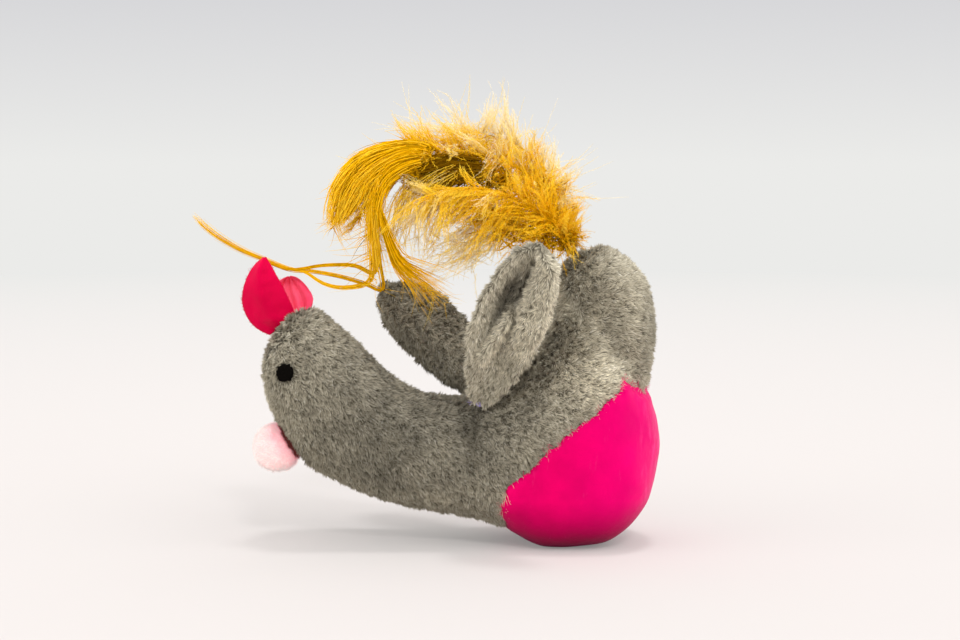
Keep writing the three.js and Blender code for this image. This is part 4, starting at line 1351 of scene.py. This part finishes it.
hackleHairs = [
    {
        **hackleHair, "y": -3.4, "count": 90, "slant": (0.3, 1.6), "reach": (2.5, 6.5), "curl": 0.35,
        "path": [[-6.1, 94.4], [-12.9, 91.4], [-17.5, 86.2], [-20.3, 79.6], [-21.8, 75.4]],
        "width": 0.00007, "tone": 0.3,
    },
    {
        **hackleHair, "y": -4.0, "count": 110, "slant": (0.4, 2.4), "reach": (3.0, 9.0), "curl": 0.6,
        "path": [[-11.4, 83.5], [-12.4, 77.5], [-11.9, 70.3], [-11.2, 61.2]], "ways": (1, -1), "tone": 0.36,
    },
    {
        **hackleHair, "y": -4.6, "count": 50, "slant": (0.3, 1.2), "reach": (3.0, 8.0), "curl": 0.4,
        "path": [[-10.0, 76.0], [-6.1, 67.4], [-1.3, 63.2], [5.6, 57.2]], "tone": 0.4,
    },
    {
        **hackleHair, "y": -4.2, "count": 14, "slant": (1.4, 3.0), "reach": (5.0, 9.5), "curl": 0.42,
        "path": [[-12.4, 77.5], [-12.2, 72.0], [-12.2, 66.5]], "sides": (1,), "width": 0.00009, "tone": 0.16,
    },
]
lockPiece("hackle_web", hackleLocks, hackleHairs, 31, 4, "orange_feather", "tail_hackle")

# Loose down in and under the arch: dark within the hollow as painted shade, pale below it, and wisps that
# stand up above
downLock = {
    "starts": (0.0, 0.5), "ends": (0.4, 1.0), "steps": 10, "depth": 0.7, "width": 0.00006, "fluff": 0.0007,
}
downLocks = [
    {
        # Painted shade: a dark lock set in the hollow of the arch
        **downLock, "y": -1.6, "count": 210, "steps": 8, "wild": 0.0016, "depth": 0.4, "width": 0.00016,
        "path": [[14.5, 89.6], [7.0, 89.4], [0.0, 88.0], [-6.0, 86.0]], "tone": -0.2,
        "halfWidth": [[0, 2.2], [0.4, 3.6], [0.8, 3.0], [1, 1.8]],
    },
    {
        **downLock, "y": -2.4, "count": 70, "starts": (0.0, 0.3), "ends": (0.5, 1.0), "steps": 12,
        "wild": 0.0026, "tone": 0.6,
        "path": [[8.0, 90.0], [2.0, 86.5], [-2.5, 80.5], [-4.0, 73.0], [-4.6, 66.0]],
        "halfWidth": [[0, 1.6], [0.4, 3.2], [1, 4.0]],
    },
    {
        **downLock, "y": -1.0, "count": 90, "wild": 0.003, "fluff": 0.0009, "tone": 0.74,
        "path": [[24.0, 82.0], [17.0, 76.5], [10.0, 71.5], [4.0, 68.0], [-2.0, 66.0]],
        "halfWidth": [[0, 2.6], [0.4, 4.6], [1, 4.2]],
    },
    {
        **downLock, "y": -1.4, "count": 46, "starts": (0.0, 0.4), "ends": (0.5, 1.0), "wild": 0.0024,
        "path": [[1.0, 88.0], [-4.0, 84.5], [-6.2, 79.0], [-7.0, 73.0], [-6.4, 67.0]],
        "halfWidth": [[0, 1.4], [0.4, 2.2], [1, 2.4]], "width": 0.00007, "fluff": 0.0006, "tone": 0.5,
    },
]
downHairs = [
    {
        **hackleHair, "y": 0.0, "count": 130, "slant": (0.5, 2.6), "reach": (5.0, 13.0), "curl": 0.6,
        "path": [[31.0, 82.0], [24.0, 89.0], [12.0, 95.0], [-2.0, 95.5]], "ways": (1, -1), "sides": (1,),
        "width": 0.00004, "fluff": 0.0006, "tone": 0.66,
    },
    {
        **hackleHair, "y": -2.0, "count": 60, "slant": (0.3, 0.9), "reach": (4.0, 8.0), "curl": 0.35,
        "path": [[4.0, 94.0], [-3.0, 95.0]], "sides": (1,), "width": 0.00011, "tone": 0.26,
    },
]
lockPiece("hackle_down", downLocks, downHairs, 61, 6, "orange_down", "tail_hackle")


# Soft clumps of down that fill the plumes: curled strands, and thick ones behind them
def puffLines(puffs, seed):
    rng = np.random.default_rng(seed)
    flatter = np.array([1, 0.7, 1])
    lines = []
    for x, y, z, size, count, wayX, wayZ, tone, fluff, fill in puffs:
        size = size / 1000
        middle = np.array((x, y, z)) / 1000
        lean = np.array((wayX, 0, wayZ))
        for k in range(count):
            start = middle + rng.normal(0, 0.4, 3) * flatter * size
            way = unit(rng.normal(0, 1, 3) * flatter + lean)
            turn = unit(np.cross(way, rng.normal(0, 1, 3)))
            reach = size * rng.uniform(0.5, 1.2)
            points = curling(start, way * reach, turn * reach * 0.6, 7)
            lines.append(strand(points, puffWidths["curled"], tone + rng.normal(0, 0.08), fluff))
        for k in range(fill):
            start = middle + np.array([0, 0.0014, 0]) + rng.normal(0, 0.36, 3) * flatter * size
            way = unit(rng.normal(0, 0.6, 3) + lean)
            turn = unit(np.cross(way, rng.normal(0, 1, 3)))
            reach = size * rng.uniform(0.4, 0.9)
            points = curling(start, way * reach, turn * reach * 0.5, 6, 0.5)
            lines.append(strand(points, puffWidths["thick"], tone - 0.1 + rng.normal(0, 0.08)))
    return lines


puffWidths = {"curled": 0.00005, "thick": 0.00024}
# Each puff: x, y, z, size, count, which way along and up, tone, fluff and thick strands
# Puffs with a tone below nought sit in the hollow of the arch, darkened as painted shade
puffs = [
    (28.5, -3.0, 76.8, 6.0, 70, -0.8, 0.2, 0.24, 0.0010, 70),
    (21.5, -3.5, 77.5, 6.5, 80, -0.8, -0.1, 0.3, 0.0010, 70),
    (14.0, -3.0, 78.5, 6.0, 60, -0.8, -0.2, 0.34, 0.0010, 50),
    (25.5, 1.0, 86.0, 7.0, 80, -0.3, 0.3, 0.3, 0.0010, 70),
    (17.5, 1.5, 88.0, 6.0, 60, -0.4, 0.2, 0.3, 0.0010, 70),
    (11.0, 1.5, 88.6, 4.0, 60, -0.6, 0, -0.16, 0.0009, 80),
    (4.5, 1.5, 88.8, 4.0, 60, -0.6, 0, -0.2, 0.0009, 80),
    (8.0, -1.0, 83.0, 5.0, 40, -0.6, -0.4, 0.2, 0.0010, 30),
    (30.6, -2.0, 73.0, 4.5, 60, -0.5, -0.2, 0.2, 0.0010, 70),
    (25.5, -3.0, 73.6, 5.0, 60, -0.8, -0.1, 0.28, 0.0010, 60),
    (19.0, -2.5, 74.4, 5.0, 50, -0.8, -0.1, 0.4, 0.0010, 50),
    (15.2, 1.0, 87.4, 4.0, 60, -0.6, 0, -0.04, 0.0009, 60),
    (10.5, 0.0, 93.8, 5.0, 46, -0.5, 0.1, 0.36, 0.0010, 40),
    (3.6, 0.0, 93.6, 5.0, 46, -0.6, 0, 0.32, 0.0010, 0),
    (29.5, 0.0, 84.0, 5.5, 50, 0.2, 0.4, 0.3, 0.0010, 50),
    (33.0, 0.0, 78.5, 4.0, 40, 0.4, 0.4, 0.24, 0.0010, 40),
    (-5.0, -2.0, 83.0, 4.5, 24, 0, -0.8, 0.5, 0.0009, 0),
    (11.0, 0.0, 71.5, 5.5, 46, -0.3, -0.3, 0.86, 0.0011, 0),
    (3.0, 0.0, 73.0, 5.5, 36, -0.3, -0.3, 0.7, 0.0011, 0),
    (18.5, 1.0, 86.4, 4.0, 30, -0.5, 0, 0.12, 0.0009, 60),
    (0.2, -4.0, 92.8, 2.4, 46, -0.9, 0.1, 0.24, 0.0007, 10),
    (-3.0, -4.0, 89.6, 2.0, 36, -0.6, -0.5, 0.1, 0.0007, 10),
    (34.8, -2.4, 73.4, 2.6, 40, 0.2, 0.6, 0.1, 0.0009, 16),
    (-1.5, 1.5, 88.2, 3.2, 40, -0.5, 0, -0.14, 0.0008, 60),
]
featherPiece("plume_down_puffs", puffLines(puffs, 81), 9, "orange_down", "tail_near_plume")

# Short down all round the quills, over the binding
rootDown = {
    **middlePlume,
    "route": [[-0.02, 0.12], [-0.05, 0.2]],
    "tufts": 43,
    "barbs": 14,
    "bare": 0.0,
    "foot": 0.05,
    "outer": [[0, 0.0042], [0.4, 0.006], [1, 0.008]],
    "inner": [[0, 0.0042], [0.4, 0.006], [1, 0.008]],
    "lean": [[0, -0.7], [0.4, 0.1], [1, 0.6]],
    "spreadAround": 1.5,
    "tone": [[0, 0.0], [0.4, 0.2], [1, 0.3]],
    "outerPale": 0.0,
}
featherPiece("root_down", plumeLines(rootDown, 14), 7, "orange_down", "tail_middle_plume")

# The long wisp: three thin locks that join on their way forwards, and one that leads back to the binding
wispWay = [
    [-32.5, 65.6], [-39.3, 68.2], [-44.5, 70.3], [-49.3, 73.0], [-52.9, 75.6], [-54.9, 77.5], [-56.3, 78.7],
]
wisp = {
    "y": 0.6, "yEnd": 3.6, "starts": (0.0, 0.08), "steps": 34, "depth": 0.6, "width": 0.00012, "wild": 0.0003,
    "fluff": 0.0,
    "halfWidth": [[0, 0.8], [0.2, 0.5], [0.4, 0.28], [0.6, 0.3], [0.8, 0.55], [1, 0.3]],
}
wispLocks = [
    {
        **wisp, "count": 14, "ends": (0.85, 1.0), "wild": 0.0002, "tone": 0.3,
        "path": [[-12.4, 78.0], [-11.7, 70.0], [-12.4, 64.8], [-17.2, 66.6], [-24.8, 66.6], *wispWay],
    },
    {
        **wisp, "count": 16, "ends": (0.7, 1.0), "tone": 0.24,
        "path": [
            [-12.0, 78.0], [-11.2, 68.0], [-10.4, 61.0], [-14.4, 62.2], [-20.6, 64.0],
            [-27.5, 65.2], *wispWay,
        ],
    },
    {
        **wisp, "count": 12, "ends": (0.8, 1.0), "tone": 0.34,
        "path": [
            [-13.4, 76.0], [-12.6, 67.0], [-13.8, 62.4], [-19.6, 61.2], [-24.5, 62.2],
            [-29.0, 65.0], *wispWay,
        ],
    },
    {
        "y": 2.4, "count": 26, "ends": (0.85, 1.0), "starts": (0.0, 0.1), "steps": 22, "depth": 0.5,
        "width": 0.00012, "wild": 0.0004, "fluff": 0.0, "tone": 0.2,
        "path": [
            [32.0, 76.0], [27.0, 86.0], [18.0, 92.0], [6.0, 93.0], [-4.0, 90.0], [-9.5, 84.5], [-11.5, 78.0],
            [-12.2, 70.0],
        ],
        "halfWidth": [[0, 0.3], [0.5, 0.6], [1, 0.9]],
    },
]
lockPiece("long_wisp_strands", wispLocks, [], 51, 5, "orange_feather", "tail_long_wisp")
print("feathers made")

# Crest: two petals of thin satin, set on the top of the head
petalGrid = {"rows": 46, "columns": 34, "wall": 0.0003, "areaShare": 0.72, "fraySeed": 141}
# Each row of an outline, from foot to tip: rise at the front, reach ahead, reach behind, rise at the back
petals = {
    "front": {
        "foot": (-0.0375, -0.0004, 0.0500),
        "end": (-0.0316, -0.0010, 0.0556),
        "tip": (-0.03825, -0.0036, 0.0686),
        "outline": [
            [-0.12, 0.2, 0.22, 0.03], [-0.02, 0.32, 0.22, 0.1], [0.15, 0.43, 0.215, 0.2],
            [0.4, 0.465, 0.19, 0.36], [0.6, 0.41, 0.15, 0.56], [0.78, 0.3, 0.105, 0.74],
            [0.92, 0.16, 0.065, 0.9], [1.01, 0.0, 0.03, 1.01],
        ],
        "bow": 0.0026,
        "pleats": 5.0,
        "folds": 0.0006,
        "fray": {"count": 260, "span": (0.0, 0.96), "reach": (0.0003, 0.0008), "width": 0.00005},
        "flat": (0.0118, 0.0165),
        "held": "folded",
        "satin": satinMaterial(
            "crestSatin", tint(224, 0, 68), tint(246, 60, 108), tint(196, 0, 56), (1, 0.2, 0.4, 1)
        ),
    },
    "back": {
        "foot": (-0.0342, 0.0006, 0.0544),
        "end": (-0.0290, 0.0006, 0.0566),
        "tip": (-0.0330, 0.0036, 0.0636),
        "outline": [
            [0.0, 0.45, 0.42, -0.05], [0.1, 0.6, 0.5, 0.08], [0.35, 0.72, 0.56, 0.28],
            [0.6, 0.68, 0.5, 0.5], [0.82, 0.5, 0.36, 0.76], [0.97, 0.25, 0.2, 0.94],
            [1.02, 0.03, 0.03, 1.02],
        ],
        "bow": 0.0018,
        "pleats": 13.0,
        "folds": 0.0009,
        "fray": {"count": 120, "span": (0.1, 0.96), "reach": (0.0002, 0.0006), "width": 0.00005},
        "flat": (0.0135, 0.0105),
        "held": "gathered",
        # The back petal's satin is a paler copy of the crest satin: painted sheen
        "satin": satinMaterial(
            "sheenPaintedCrestSatin", tint(255, 112, 142), tint(255, 160, 178), tint(236, 40, 84), (1, 0.5, 0.6, 1)
        ),
    },
}


# Threads that have come loose along a petal's cut edges
def petalFray(grid, fringe, seed):
    rng = np.random.default_rng(seed)
    lines = []
    for k in range(fringe["count"]):
        row = rng.uniform(*fringe["span"]) * (len(grid) - 2)
        r, part = int(row), row % 1
        column, inner = ((0, 1), (-1, -2))[rng.random() < 0.35]
        start = grid[r, column] * (1 - part) + grid[r + 1, column] * part
        out = unit(start - grid[r, inner])
        edge = unit(grid[r + 1, column] - grid[r, column])
        way = unit(out + 0.7 * edge * rng.normal(0, 1) + rng.normal(0, 0.25, 3))
        reach = rng.uniform(*fringe["reach"])
        turn = rng.normal(0, 0.3, 3) * reach
        lines.append(strand(curling(start, way * reach, turn, 5, 0.2), fringe["width"], 0.3))
    return lines


def makePetal(name, petal):
    foot, end, tip = (np.array(petal[key]) for key in ("foot", "end", "tip"))
    base = (foot + end) / 2
    length = np.linalg.norm(tip - base)
    axis = (tip - base) / length
    toFace = unit(foot - end - axis * float((foot - end) @ axis))
    outward = unit(np.cross(axis, toFace))
    if (outward[1] > 0) == (name == "front"):
        outward = -outward
    rows, columns = petalGrid["rows"], petalGrid["columns"]
    points = []
    for s in np.arange(rows) / (rows - 1):
        low, ahead, behind, lowEnd = pathAt(petal["outline"], s)
        for share in np.arange(columns) / (columns - 1):
            v = 2 * share - 1
            side = (1 - share) * ahead - share * behind
            rise = (1 - share) * low + share * lowEnd
            bulge = petal["bow"] * (1 - v * v * 0.9) * math.sin(math.pi * min(s * 0.8 + 0.12, 1))
            crease = petal["folds"] * (1 - 0.6 * s) * math.sin(v * petal["pleats"] + s * 3) * 0.6
            points.append(base + axis * rise * length + toFace * side * length + outward * (bulge + crease))
    points = np.array(points)
    points += outward * (0.00022 * cloud(points, 0.0024, 6.0))[:, None]
    sheet = newPiece(f"crest_{name}_satin", points, gridFaces(rows, columns), petal["satin"])
    thicken(sheet, petalGrid["wall"], 0)
    owner = "crest_" + name
    place = (owner, "crest_satin", owner + "_petal")
    dress(sheet, *place)
    threads = petalFray(points.reshape(rows, columns, 3), petal["fray"], petalGrid["fraySeed"])
    edges = linePiece(owner + "_fray", threads, petal["satin"], {"Seed": 12}, *place)
    width, tall = petal["flat"]
    width * tall * petalGrid["areaShare"]


for name, petal in petals.items():
    makePetal(name, petal)
print("crest made")

# Fibre filling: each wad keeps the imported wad's shape, teased into puffs and pressed in under the cloth
wads = {
    "places": ("head", "neck", "front_belly", "rear_belly", "rump"),
    "cuts": 3,
    "clear": 0.00035,
    "puff": 0.0003,
    "puffSize": 0.0026,
}


def fibreMaterial():
    material, kit, where = newMaterial("fibreFill", 0.95, 0.08, {"Sheen Weight": 0.3})
    swirl = kit.scaled(kit.noise(where, 220, 2, 0.5, "Color"), 0.006)
    fibre = kit.noise(kit.stretched(kit.vector("ADD", where, swirl), (1, 1, 7)), 900, 4, 0.7)
    kit.plug("Base Color", kit.mixColour(fibre.ranged(0.3, 0.7), tint(212, 211, 206), tint(250, 249, 245)))
    kit.plug("Normal", kit.bump(fibre, 0.8, 0.0004))
    return material


fibreFill = fibreMaterial()


def makeWad(place):
    node = place + "_stuffing"
    form = bmesh.new()
    form.from_mesh(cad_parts[node].data)
    bmesh.ops.remove_doubles(form, verts=form.verts, dist=1e-6)
    bmesh.ops.subdivide_edges(form, edges=form.edges, cuts=wads["cuts"], use_grid_fill=True)
    form.normal_update()
    points = np.array([vertex.co for vertex in form.verts])
    normals = np.array([vertex.normal for vertex in form.verts])
    inward = reliefDepth(points, seamDistance(points)) + wads["clear"]
    inward += wads["puff"] * (0.5 + 0.5 * cloud(points, wads["puffSize"], 4.4))
    for vertex, point in zip(form.verts, points - normals * np.maximum(inward, 0.0)[:, None]):
        vertex.co = point
    mesh = bpy.data.meshes.new(place + "_fibre")
    form.to_mesh(mesh)
    form.free()
    mesh.polygons.foreach_set("use_smooth", [True] * len(mesh.polygons))
    mesh.materials.append(fibreFill)
    wad = placed(place + "_fibre", mesh)
    dress(wad, "body", "fibre_fill", node)
    return len(mesh.polygons)


print("filling made, faces", [makeWad(place) for place in wads["places"]])


# The rattle: a moulded shell in two halves, matt from the mould, and a brushed steel ball
def steelMaterial():
    material, kit, where = newMaterial("brushedBall", 0.28, 0.5, {"Metallic": 1.0})
    brushed = kit.noise(kit.stretched(where, (0.4, 0.4, 14)), 420, 3, 0.7)
    kit.plug("Base Color", kit.mixColour(brushed, tint(178, 180, 184), tint(204, 206, 210)))
    kit.plug("Roughness", brushed.ranged(0.3, 0.7, 0.22, 0.38))
    kit.plug("Normal", kit.bump(brushed, 0.2, 0.00004))
    return material


def finishNode(node, material):
    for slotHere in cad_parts[node].material_slots:
        slotHere.material = material


capsulePlastic, kit, where = mottledMaterial(
    "capsulePlastic", 0.42, 0.4, 140, tint(226, 221, 207), tint(240, 236, 225), (2400, 2, 0.15, 0.00005)
)
kit.plug("Roughness", kit.noise(where, 700, 3).ranged(0.3, 0.7, 0.36, 0.5))
finishNode("rattle_upper_shell", capsulePlastic)
finishNode("rattle_lower_shell", capsulePlastic)
finishNode("rattle_ball", steelMaterial())

# Knots of wound thread: at the root of each wing, under the tail, and round the quills
knots = {
    "wingRadius": 0.0011,
    "tailRadius": 0.0009,
    "thread": 0.00014,
    "turns": 26,
    "steps": 22,
    "sides": 6,
    "bindingRadius": 0.00165,
    "bindingTurns": 9,
    "bindingSteps": 20,
    "bindingThread": 0.00016,
}


def threadMaterial(name, dark, light):
    material, kit, where = newMaterial(name, 0.6, 0.3)
    ply = kit.noise(where, 4200, 2)
    kit.plug("Base Color", kit.mixColour(ply.ranged(0.3, 0.7), dark, light))
    kit.plug("Normal", kit.bump(ply, 0.5, 0.00006))
    return material


# A thread wound round a ball, each turn tilted a little further than the last
def woundBall(centre, radius, seed):
    rng = np.random.default_rng(seed)
    points = []
    for n in range(knots["turns"] * knots["steps"]):
        turn = 2 * math.pi * n / knots["steps"]
        tilt = 2.4 * turn / knots["turns"] + 0.3 * math.sin(turn * 0.37)
        swing = 1.9 * turn / knots["turns"]
        ahead = math.cos(turn)
        raised = math.sin(turn) * math.sin(tilt)
        round_ = np.array([
            ahead * math.cos(swing) - raised * math.sin(swing),
            math.sin(turn) * math.cos(tilt),
            ahead * math.sin(swing) + raised * math.cos(swing),
        ])
        points.append(centre + round_ * radius * (0.94 + 0.1 * rng.random()))
    return strand(points, knots["thread"])


# A cut end of thread that curls away from a knot
def threadEnd(start, way, length, sag, seed):
    rng = np.random.default_rng(seed)
    points = []
    for share in np.linspace(0, 1, 14):
        drop = np.array([0, 0, -sag * share**2])
        wave = 0.00025 * np.sin(rng.uniform(0.8, 1.0, 3) * 5 * share + np.array([0, 1, 2]))
        points.append(start + way * length * share + drop + wave * share)
    return strand(points, knots["thread"])


# A knot: its thread with any loose ends, over a plain core
def makeKnot(names, centre, radius, lines, seed, material, place):
    wound = [woundBall(centre, radius, seed), *lines]
    linePiece(names[0], wound, material, {"Sides": knots["sides"]}, *place)
    points, faces = ballPoints(centre, radius * 0.9, 12, 20)
    dress(newPiece(names[1], points, faces, material), *place)


violetThread = threadMaterial("violetThread", tint(120, 104, 190), tint(196, 186, 240))
brownThread = threadMaterial("brownThread", tint(62, 38, 16), tint(122, 82, 40))
for side, sign in handed:
    wing = side + "_wing"
    angle = sign * wings["angle"]
    knot = bodyPoint(wings["place"], angle) + bodyNormal(wings["place"], angle) * knots["wingRadius"]
    ahead = np.array([-1.0, -0.25 * sign, 0.05])
    ends = [
        threadEnd(knot, ahead, 0.0030, 0.0002, 6),
        threadEnd(knot, ahead + np.array([0, -0.3 * sign, 0.25]), 0.0026, 0.0004, 7),
        threadEnd(knot + ahead * 0.0014, ahead + np.array([0.3, -0.5 * sign, -0.3]), 0.0016, 0.0002, 8),
    ]
    place = (wing + "_root", "violet_thread", wing + "_tack")
    makeKnot((wing + "_thread", wing + "_knot"), knot, knots["wingRadius"], ends, 5, violetThread, place)
tailKnot = tailSeat + tailNormal * tail["tack"]
place = ("tail_root", "brown_thread", "tail_tack")
makeKnot(("tail_knot_thread", "tail_knot"), tailKnot, knots["tailRadius"], [], 9, brownThread, place)

ringSide, ringUp = frameOf(tailNormal)
coil = []
coilSteps = knots["bindingTurns"] * knots["bindingSteps"]
for n in range(coilSteps + 1):
    turn = 2 * math.pi * n / knots["bindingSteps"]
    rise = tail["binding"] * (0.06 + 0.88 * n / coilSteps)
    round_ = ringSide * math.cos(turn) + ringUp * math.sin(turn)
    coil.append(quillFoot + tailNormal * rise + round_ * knots["bindingRadius"])
place = ("tail", "brown_thread", "tail_binding")
coilLines = [strand(coil, knots["bindingThread"])]
linePiece("tail_binding_thread", coilLines, brownThread, {"Sides": knots["sides"]}, *place)
print("knots wound")

# Frayed cloth edge along the belly seam: short threads of satin and backing that stick out of it
fray = {
    "count": 420,
    "span": (0.0, 0.9),
    "reach": (0.0005, 0.0016),
    "width": 0.00006,
    "lift": 0.0002,
    "thick": [
        {"at": (0.0198, 0.0135), "size": 0.0018, "more": 40},
        {"at": (0.0180, 0.0070), "size": 0.0035, "more": 60},
    ],
}


def frayMaterial():
    material, kit, where = newMaterial("frayedThread", 0.7, 0.1)
    tints = (tint(226, 10, 110), tint(244, 120, 160), tint(214, 196, 170), tint(240, 226, 200))
    stops = list(zip((0.0, 0.4, 0.7, 1.0), tints))
    kit.plug("Base Color", kit.ramp(kit.attribute("tone").clamped(), stops))
    return material


def frayLines(sign, seed):
    rng = np.random.default_rng(seed)
    grid = sideGrid(sign)[0]
    gap = np.abs(seamField(grid))
    near = grid[(gap < 0.0005) & (grid[:, 0] > 0.35)]
    picks = list(rng.integers(0, len(near), fray["count"]))
    raw = bodyPoint(near[:, 0], near[:, 1])
    for spot in fray["thick"]:
        apart = np.linalg.norm(raw[:, [0, 2]] - np.array(spot["at"]), axis=1)
        close = np.flatnonzero(apart < spot["size"])
        if len(close):
            picks += list(rng.choice(close, spot["more"]))
    base, normal = clothPoints(near[picks], body["satinDepth"] + 0.0004, seamField(near[picks]))
    lines = []
    for k, (start, outward) in enumerate(zip(base, normal)):
        bunched = k >= fray["count"]
        tone = rng.uniform(0.55, 0.9) if bunched else rng.uniform(-0.4, 0.8)
        loose = rng.normal(0, 1, 3)
        way = unit(loose - outward * (loose @ outward) + outward * rng.uniform(0.0, 0.7))
        curl = unit(np.cross(way, outward) * rng.normal(0, 1) + outward * 0.2)
        reach = rng.uniform(*fray["reach"]) * (1.5 if bunched else 1.0)
        points = curling(start + outward * fray["lift"], way * reach, curl * reach * 0.4, 6)
        lines.append(strand(points, fray["width"], tone))
    return lines


frayedThread = frayMaterial()
for side, sign in handed:
    lines = frayLines(sign, 90 + sign)
    linePiece(side + "_seam_fray", lines, frayedThread, {"Seed": 8}, "body", "belly_satin")
